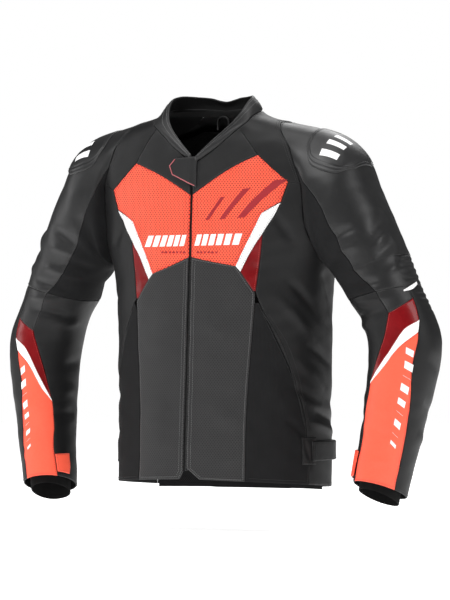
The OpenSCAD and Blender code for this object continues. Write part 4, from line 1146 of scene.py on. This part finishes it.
def sleeve(m):
    # upper sleeve and elbow: leather outside and stretch cloth inside, parted by the edge's angle at a station
    name = sideName[m]
    edge = np.array(sleeveLook["edge"][m], float)
    upper = [[-80, s, float(np.interp(s, edge[:, 0], edge[:, 1])), s] for s in (0, 1, 2, 3, 4, 5, 6, 7)]
    lower = [[-80, s, float(np.interp(s, edge[:, 0], edge[:, 1])), s] for s in (7, 7.5, 8.0)]
    turnOver = lambda rows: [[r[2], r[3], 280, r[1]] for r in rows]
    head = panel("upperSleeve_" + name, m, upper, openEnds=(False, True))
    stretch = panel("armholeStretch_" + name, m, turnOver(upper), openEnds=(False, True))
    elbow = panel("elbowLeather_" + name, m, lower, openEnds=(True, False), form=elbowForm, step=3.0)
    crook = panel("elbowStretch_" + name, m, turnOver(lower), openEnds=(True, False))
    sew(head, "shoulder_" + name, R=(3.2, 6.6), S=(3.4,), L=(3.2,))
    sew(elbow, "elbow_" + name, R=(3.2,), E=(3.2,), L=(3.2,))
    finish(head["obj"], charcoalLeather, "shoulder", ["sleeve_head_" + name])
    finish(stretch["obj"], stretchBlack, "shoulder", ["armhole_stretch_" + name])
    finish(elbow["obj"], charcoalLeather, "elbow", ["upper_sleeve_" + name])
    finish(crook["obj"], stretchBlack, "elbow", ["inner_sleeve_" + name])


def forearm(m):
    # the forearm's five panels: seam lines as angle and station pairs on the left pattern
    name = sideName[m]
    back = lambda p: [p[0] - 360, p[1]]
    top = [fore(m, 75, 8)[0] - 360, 8.0, fore(m, 22, 8)[0], 8.0]
    under = panel("forearmUnder_" + name, m, [top, back(fore(m, 75, 8.93)) + fore(m, 22, 8.44),
        back(fore(m, 90, 9.6)) + fore(m, 30, 9.3),
                  back(fore(m, 110, 10.7)) + fore(m, 40, 9.81), back(fore(m, 125, 11.84)) + fore(m, 48, 11.1),
                  back(fore(m, 129, 13)) + fore(m, 36, 12.7),
                  back(fore(m, 125, 14.1)) + fore(m, 30, 14.1), back(fore(m, 131, 15.55)) + fore(m, 28, 15.55)],
                  corners=((1, 4), (1, 3)), form=forearmForm)
    wedge = panel("forearmWedge_" + name, m, [fore(m, 75, 8.93) + fore(m, 22, 8.44), fore(m, 90, 9.6) + fore(m, 30,
        9.3),
                  fore(m, 106, 10.5) + fore(m, 62, 9.7), fore(m, 118, 11.3) + fore(m, 95, 10.8),
                  fore(m, 124, 11.78) + fore(m, 122, 11.7)], corners=((), (1,)), step=3.0)
    fill = panel("forearmTop_" + name, m, [[fore(m, 75, 8)[0], 8.0, fore(m, 22, 8)[0], 8.0],
        fore(m, 75, 8.93) + fore(m, 22, 8.44)], step=3.0)
    stripe = panel("forearmStripe_" + name, m, [fore(m, 30, 9.3) + fore(m, 40, 9.81), fore(m, 62, 9.7) + fore(m, 72,
        10.4), fore(m, 95, 10.8) + fore(m, 100, 11.3),
                   fore(m, 123, 11.74) + fore(m, 125, 11.84)], height=0.5, step=2.6)
    red = panel("forearmPanel_" + name, m, [fore(m, 125, 11.84) + fore(m, 100, 11.3), fore(m, 127, 12.2) + fore(m,
        72, 10.4), fore(m, 129, 13) + fore(m, 40, 9.81),
                fore(m, 127, 13.5) + fore(m, 48, 11.1), fore(m, 125, 14.1) + fore(m, 36, 12.7),
                fore(m, 128, 14.8) + fore(m, 30, 14.1),
                fore(m, 131, 15.55) + fore(m, 28, 15.55)], corners=((), (2,)), step=3.2)
    sew(under, "elbow_" + name, E=(5.0,))
    sew(fill, "elbow_" + name, E=(3.2,))
    finish(fill["obj"], charcoalLeather, "elbow")
    sew(red, "cuffThread_" + name, R=(3.2,), L=(3.2,), E=(5.0,))
    sew(wedge, "wedge_" + name, L=(3.0,), R=(3.0,))
    finish(under["obj"], blackLeather, "elbow", ["forearm_under_" + name])
    finish(wedge["obj"], crimsonGloss, "elbow", ["forearm_wedge_" + name])
    finish(stripe["obj"], plainWhite, "elbow", ["forearm_stripe_" + name])
    finish(red["obj"], plainRed, "elbow", ["forearm_panel_" + name])


def forearmForm(x, y, e, p, a, v):
    # the same ribs carried on below the elbow seam, and a gather into the cuff
    b = (a + 180) % 360 - 180
    share = np.clip((9.0 - v) / 0.2, 0, 1) * np.clip((b + 66) / 16, 0, 1) * np.clip((14 - b) / 16, 0, 1)
    share = share * np.clip(e / 5, 0, 1)
    down = 2 * np.pi * (v - 8) * sleeveLook["forearmRise"] / sleeveLook["elbowRibs"]
    return -sleeveLook["ribDepth"] * share * (0.5 + 0.5 * np.cos(down))


capLook = {"height": 1.7, "thick": 2.6}


def capForm(x, y, e, p, a, v):
    # the hard cap: a crown towards its middle and two grooves inside its border
    crown = 0.7 * np.clip(e / 26, 0, 1) ** 0.7
    grooves = 1.3 * np.exp(-((e - 6.0) / 1.3) ** 2) + 1.2 * np.exp(-((e - 12.6) / 1.3) ** 2)
    return crown - grooves + 0.4 * np.exp(-((e - 9.2) / 1.6) ** 2)


def shoulderCap(m):
    # a lifted oval panel over the sleeve's head
    rows = [[-34, 0.95, 44, 0.95], [-50, 1.35, 60, 1.35], [-52, 2.2, 60, 2.2], [-38, 3.0, 50, 3.0],
        [-16, 3.45, 24, 3.45]]
    cap = panel("shoulderCap_" + sideName[m], m, rows, height=capLook["height"], thick=capLook["thick"], step=2.2,
        roll=3.4, drop=1.6, folds=False, form=capForm, pucker=0)
    finish(cap["obj"], capPlastic, stands=["shoulder_cap_" + sideName[m]])


def armholeTape(m):
    # a flat tape run round the inside of the armhole seam, so that no light comes through the stitching
    a = np.linspace(-178, 178, 150)
    out = faceOut(m, a, 0 * a + 0.12)
    tape = tube("armholeTape_" + sideName[m], facePoint(m, a, 0 * a) - out * 3.6, out, 15.0, 0.9, sides=12,
        taper=False)
    finish(tape, tapeCloth)


for m in (1, 2):
    sleeve(m)
    armholeTape(m)
    forearm(m)
    shoulderCap(m)
print("sleeves sewn")

# straps and tabs
strapLook = {"thick": 2.4, "lift": 6.0}


def strapForm(x, y, e, p, a, v):
    # a soft crown inside its stitched edge
    return 0.35 * np.clip(e / 6, 0, 1)


def waistForm(x, y, e, p, a, v):
    # the same crown, and the free end lifted off the leather by a square curve
    return strapForm(x, y, e, p, a, v) + strapLook["lift"] * x * x


def waistStrap(w):
    # the waist tab and the patch that it is sewn to
    name = sideName[w + 1]
    strap = panel("waistStrap_" + name, 0, [plain(w, 76, 50) + plain(w, 110, 52), plain(w, 76, 66) + plain(w, 112.5,
        66), plain(w, 76, 86) + plain(w, 112, 86)],
                  height=4.6, thick=strapLook["thick"], step=2.6, folds=False, form=waistForm)
    sew(strap, "strap_" + name, L=(2.6, 9.0), R=(2.6,), S=(2.6,), E=(2.6,))
    finish(strap["obj"], blackLeather, "strap_" + name, stands=["waist_strap_" + name])
    patch = panel("waistPatch_" + name, 0, [plain(w, 70, 44) + plain(w, 79.5, 44), plain(w, 70, 68) + plain(w, 79.5,
        68), plain(w, 70, 93) + plain(w, 79.5, 93)],
                  height=1.7, thick=1.5, step=2.6, folds=True)
    sew(patch, "black", L=(2.4,), S=(2.4,), E=(2.4,))
    finish(patch["obj"], blackLeather)


def cuffTab(m):
    # the cuff tab, lifted off the sleeve's end
    name = sideName[m]
    tab = panel("cuffTab_" + name, m, [fore(m, 126, 14.35) + fore(m, 168, 14.2), fore(m, 128, 14.8) + fore(m, 170,
        14.8), fore(m, 130, 15.3) + fore(m, 166, 15.3)],
                height=4.4, thick=2.4, step=2.2, folds=False, form=strapForm)
    sew(tab, "cuffStrap_" + name, L=(2.4,), R=(2.4,), S=(2.4,), E=(2.4,))
    finish(tab["obj"], plainRed, "cuff_strap_" + name, stands=["cuff_tab_" + name])


for w in (0, 1):
    waistStrap(w)
for m in (1, 2):
    cuffTab(m)
print("straps ready")

# linings and protectors
liningLook = {"depth": 12.5, "thick": 1.3}


def lining(name, m, rows, where, stands, material=None, openEnds=(False, False)):
    # a panel of thin cloth at a set depth under the face
    piece = panel(name, m, rows, height=-liningLook["depth"], thick=liningLook["thick"], step=7.0, roll=1.5,
        drop=0.4, folds=False, pucker=0.0, openEnds=openEnds)
    finish(piece["obj"], material or liningMesh, where, stands)


for w in (0, 1):
    shift = 9 if w == 0 else -9
    z = lambda h: [zipEdge(w, h)[0] + shift, h]
    part = lambda p, k: [p[0] * k, p[1] * k]
    lining("bodyLining_" + sideName[w + 1], 0, [z(30) + plain(w, 106, 8), z(200) + plain(w, 106, 200),
        z(330) + plain(w, 104, 330), z(410) + plain(w, 90, 392),
           z(470) + part(hole(w, 450), 0.96), z(530) + part(hole(w, 530), 0.96), z(560) + part(hole(w, 600), 0.96),
           plain(w, 45, 606) + part(hole(w, 632), 0.97)],
           shellBody, ["lining_front_" + sideName[w + 1]])
lining("bodyLiningBack", 0, [[108, -4, 252, -4], [108, 200, 252, 200], [107, 330, 253, 330], [100, 392, 260, 392],
    [108, 460, 252, 460], [113, 520, 247, 520],
       [113, 580, 247, 580], [118, 625, 242, 625], [135, 650, 225, 650]], shellBody,
       ["lining_back"])
for m in (1, 2):
    lining("armLining_" + sideName[m], m, [[-175, s, 184, s] for s in (0.5, 2, 4, 5.5, 7)],
        "shoulder", ["upper_lining_" + sideName[m]], openEnds=(False, True))
    lining("cuffLining_" + sideName[m], m, [[-175, s, 184, s] for s in (7, 8.5, 10, 12, 14, 15.9)],
        "elbow", ["forearm_lining_" + sideName[m]], collarInside, openEnds=(True, False))


def padForm(x, y, e, p, a, v):
    # moulded foam: a crown to the middle and a grid of shallow channels
    cells = np.minimum(np.abs(np.sin(x * np.pi * 4)), np.abs(np.sin(y * np.pi * 5)))
    return 0.8 * np.clip(e / 30, 0, 1) - 0.9 * np.exp(-(cells / 0.22) ** 2) * np.clip(e / 8, 0, 1)


def protector(name, m, rows, depth, thick, where, stands):
    # a padded panel under the lining side of the leather
    piece = panel(name, m, rows, height=-depth - 2.6, thick=thick - 1.0, step=4.0, roll=5.0, drop=2.6, folds=False,
        pucker=0, form=padForm)
    finish(piece["obj"], foamGrey, where, stands)


protector("backProtector", 0, [[152, 190, 208, 190], [148, 300, 212, 300], [148, 430, 212, 430],
    [146, 520, 214, 520], [152, 590, 208, 590]], 3.8, 6.8, shellBody, ["back_protector"])
for m in (1, 2):
    protector("shoulderArmour_" + sideName[m], m, [[-26, 2.3, 32, 2.3], [-38, 3, 42, 3], [-40, 3.7, 44, 3.7],
        [-28, 4.5, 34, 4.5]], 4.4, 6.8, shellBody, ["shoulder_armour"])
    protector("elbowArmour_" + sideName[m], m, [[-85, 8.25, 5, 8.25], [-100, 8.8, 15, 8.8], [-100, 9.8, 15, 9.8],
        [-85, 11, 0, 11]], 4.4, 5.6, "forearm_" + sideName[m], ["elbow_armour_" + sideName[m]])
print("linings and protectors ready")

# plain bars and outlines in place of any lettering
barLook = {"lift": 0.55, "thick": 0.45}


def bar(name, m, rows, material, where=shellBody, lift=None, folds=True):
    # a thin printed panel lying on the leather, with the folds under it
    piece = panel(name, m, rows, height=barLook["lift"] if lift is None else lift, thick=barLook["thick"], step=2.6,
        roll=0.5, drop=0.2, gap=0.0, pucker=0.3 if folds else 0, folds=folds)
    return finish(piece["obj"], material, where)


def chestBars():
    # slanted bars in a row, each one a parallelogram a few degrees wide, lengths in a fixed rhythm
    low = lambda a: 432.0 + 0.05 * (a + 44)
    ends = [-42.5, -36.6, -30.7, -24.8, -18.9, -13.0, 1.8, 8.2, 14.6, 21.0, 27.4, 33.8]
    for k, a in enumerate(ends):
        wide = 4.3 if a < 0 else 4.6
        lean = 2.6
        bar("chestBar_%02d" % k, 0, [[a, low(a), a + wide, low(a) + 0.3], [a + lean, low(a) + 20, a + wide + lean,
            low(a) + 20.3]], whitePrint)


def chestSlashes():
    # three plain slanted strips side by side, each longer than the last
    for k, (low, high) in enumerate([((12, 480), (26, 521)), ((24.5, 481), (43, 536)), ((38, 484), (59, 551))]):
        wide = 3.6 + 0.7 * k
        bar("chestSlash_%d" % k, 0, [[*low, low[0] + wide, low[1] + 1], [*high, high[0] + wide, high[1] + 1]],
            crimsonPrint, lift=0.7)


def fineDashes():
    # a broken line of short marks at an even pitch
    for k in range(16):
        a = -29 + k * 3.3
        if -6 < a < 1.5 or a + 1.9 > 24:
            continue
        bar("chestDash_%02d" % k, 0, [[a, 420.5, a + 1.9, 420.5], [a + 0.3, 424.2, a + 2.2, 424.2]], crimsonPrint)


def sleeveBars(m):
    # bars down the forearm, each leaning the same way
    for k, (s0, s1) in enumerate([(10.35, 10.75), (10.87, 11.3), (11.42, 11.58), (11.7, 12.12), (12.24, 12.62),
        (12.74, 12.9), (13.02, 13.4), (13.52, 13.66), (13.78, 14.05)]):
        a0, a1 = 61 - (0.3 * k if k > 4 else 0), 46.5 + (2 if k == 0 else 0)
        rows = [fore(m, a0, s0 + 0.05) + fore(m, a1, s0 + 0.2), fore(m, a0, s1 - 0.1) + fore(m, a1, s1 + 0.05)]
        bar("forearmBar_%s_%d" % (sideName[m], k), m, rows, whitePrint, "elbow")


def capBars(m):
    # three plain slanted bars on the cap, the same shape side by side
    for k, a in enumerate((41, 25, 9)):
        bar("capBar_%s_%d" % (sideName[m], k), m, [[a + 8, 1.72 + 0.03 * k, a, 1.7 + 0.03 * k],
            [a + 1, 2.62 - 0.05 * k, a - 7,
            2.6 - 0.05 * k]], whitePrint, lift=capLook["height"] + 0.8, folds=False)


def elbowMark(m):
    # a thin sliver across the elbow
    bar("elbowMark_" + sideName[m], m, [[33, 8.13, 34, 8.18], [14, 8.0, 16, 8.14], [-5, 7.89, -4, 7.98]], whitePrint,
        "elbow")


chestBars()
chestSlashes()
fineDashes()
for m in (1, 2):
    sleeveBars(m)
    capBars(m)
    elbowMark(m)
print("bars ready")

# welts along the pockets and side seams
weltLook = {"wide": 3.4, "tall": 1.7}


def welt(name, points, m=0, wide=None, tall=None, lift=0.1, count=60):
    # an oval tube carried along a line on a face
    line, out = trace(m, points, lift, count)
    return finish(tube(name, line, out, wide or weltLook["wide"], tall or weltLook["tall"]), blackLeather)


for w in (0, 1):
    name = sideName[w + 1]
    welt("pocketWelt_" + name, [plain(w, 50, 318), plain(w, 59, 262), plain(w, 66, 195), plain(w, 72, 112)])
    line, out = trace(0, [plain(w, 53, 314), plain(w, 62, 262), plain(w, 69, 195), plain(w, 75, 114)], 0.0, 60)
    stitch("black", line, out)
print("welts ready")

threads = {"grey": threadGrey, "red": threadRed, "black": threadBlack, "tab": threadBlack}
for group, obj in stitchObjects().items():
    kind = group.split("_")[0]
    side = 1 if group.endswith("left") else 2
    material = threads.get(kind, threadRed if kind in ("cuffThread", "wedge", "cuffStrap") else threadBlack)
    where = {"grey": shellBody, "red": shellBody, "black": shellBody, "tab": "tab", "shoulder": "shoulder",
        "elbow": "elbow", "cuffThread": "elbow",
             "wedge": "elbow", "strap": "strap_" + sideName[side], "cuffStrap": "cuff_strap_" + sideName[side]}[kind]
    finish(obj, material, where)
print("stitches ready")

# floor, backdrop and light
stageLook = {"floor": -0.745, "reach": 7.0}


def backdrop():
    # a round pale floor under the jacket: rings of points about the middle, closed at the middle by a fan
    turn = np.arange(64) * 2 * np.pi / 64
    rings = np.array([0.4, 1.0, 2.5, stageLook["reach"]])
    p = np.stack([rings[:, None] * np.cos(turn), rings[:, None] * np.sin(turn),
        0 * rings[:, None] + stageLook["floor"] + 0 * turn], -1).reshape(-1, 3)
    obj = addMesh("floor", p * 1000 + home, gridFaces(4, 64, wrap=True).tolist() + [list(range(64))])
    mat, tree, shader, where = startMaterial("paleFloor", 0.9, Emission_Strength=0.82, Specular_IOR_Level=0.1)
    n = addNode(tree, "ShaderNodeTexNoise", ins={"Vector": where.outputs["Object"], "Scale": 2.0, "Detail": 2.0})
    tree.links.new(blendColour(tree, n.outputs[0], (0.90, 0.90, 0.90, 1), (0.94, 0.94, 0.94, 1)),
        shader.inputs["Base Color"])
    shader.inputs["Emission Color"].default_value = (1, 1, 1, 1)
    obj.data.materials.append(mat)


def areaLight(name, turn, rise, distance, size, power, colour=(1, 1, 1)):
    # a square lamp on a sphere round the jacket, facing it
    a, b = math.radians(turn), math.radians(rise)
    data = bpy.data.lights.new(name, "AREA")
    data.size, data.energy, data.color = size, power, colour
    obj = bpy.data.objects.new(name, data)
    bpy.context.scene.collection.objects.link(obj)
    target = np.array([0, 0, -0.33])
    away = np.array([math.sin(a) * math.cos(b), -math.cos(a) * math.cos(b), math.sin(b)])
    obj.location = target + away * distance
    obj.rotation_euler = (math.pi / 2 - b, 0, a)
    return obj


backdrop()
areaLight("keyLamp", -8, 50, 3.2, 1.6, 66)
areaLight("rightLamp", 96, 22, 3.0, 1.3, 26)
areaLight("leftLamp", -70, 16, 3.2, 1.3, 24)
areaLight("topLamp", 60, 80, 2.6, 1.6, 26)
areaLight("backLamp", 190, 40, 3.2, 1.6, 34)
world = bpy.data.worlds.new("studio")
bpy.context.scene.world = world
world.use_nodes = True
sky = world.node_tree.nodes["Background"]
sky.inputs[0].default_value = (1, 1, 1, 1)
# white behind the jacket, softer as a lamp and in reflections
skyLook = {"seen": 0.72, "lamp": 0.28, "mirrored": 0.2}
path = addNode(world.node_tree, "ShaderNodeLightPath")
seen = calc(world.node_tree, "MULTIPLY", path.outputs["Is Camera Ray"], skyLook["seen"])
shine = calc(world.node_tree, "MULTIPLY", path.outputs["Is Glossy Ray"], skyLook["mirrored"])
share = calc(world.node_tree, "SUBTRACT", calc(world.node_tree, "ADD", seen, skyLook["lamp"]), shine)
world.node_tree.links.new(share, sky.inputs[1])
bpy.context.scene.view_settings.view_transform = "Standard"
print("light ready")
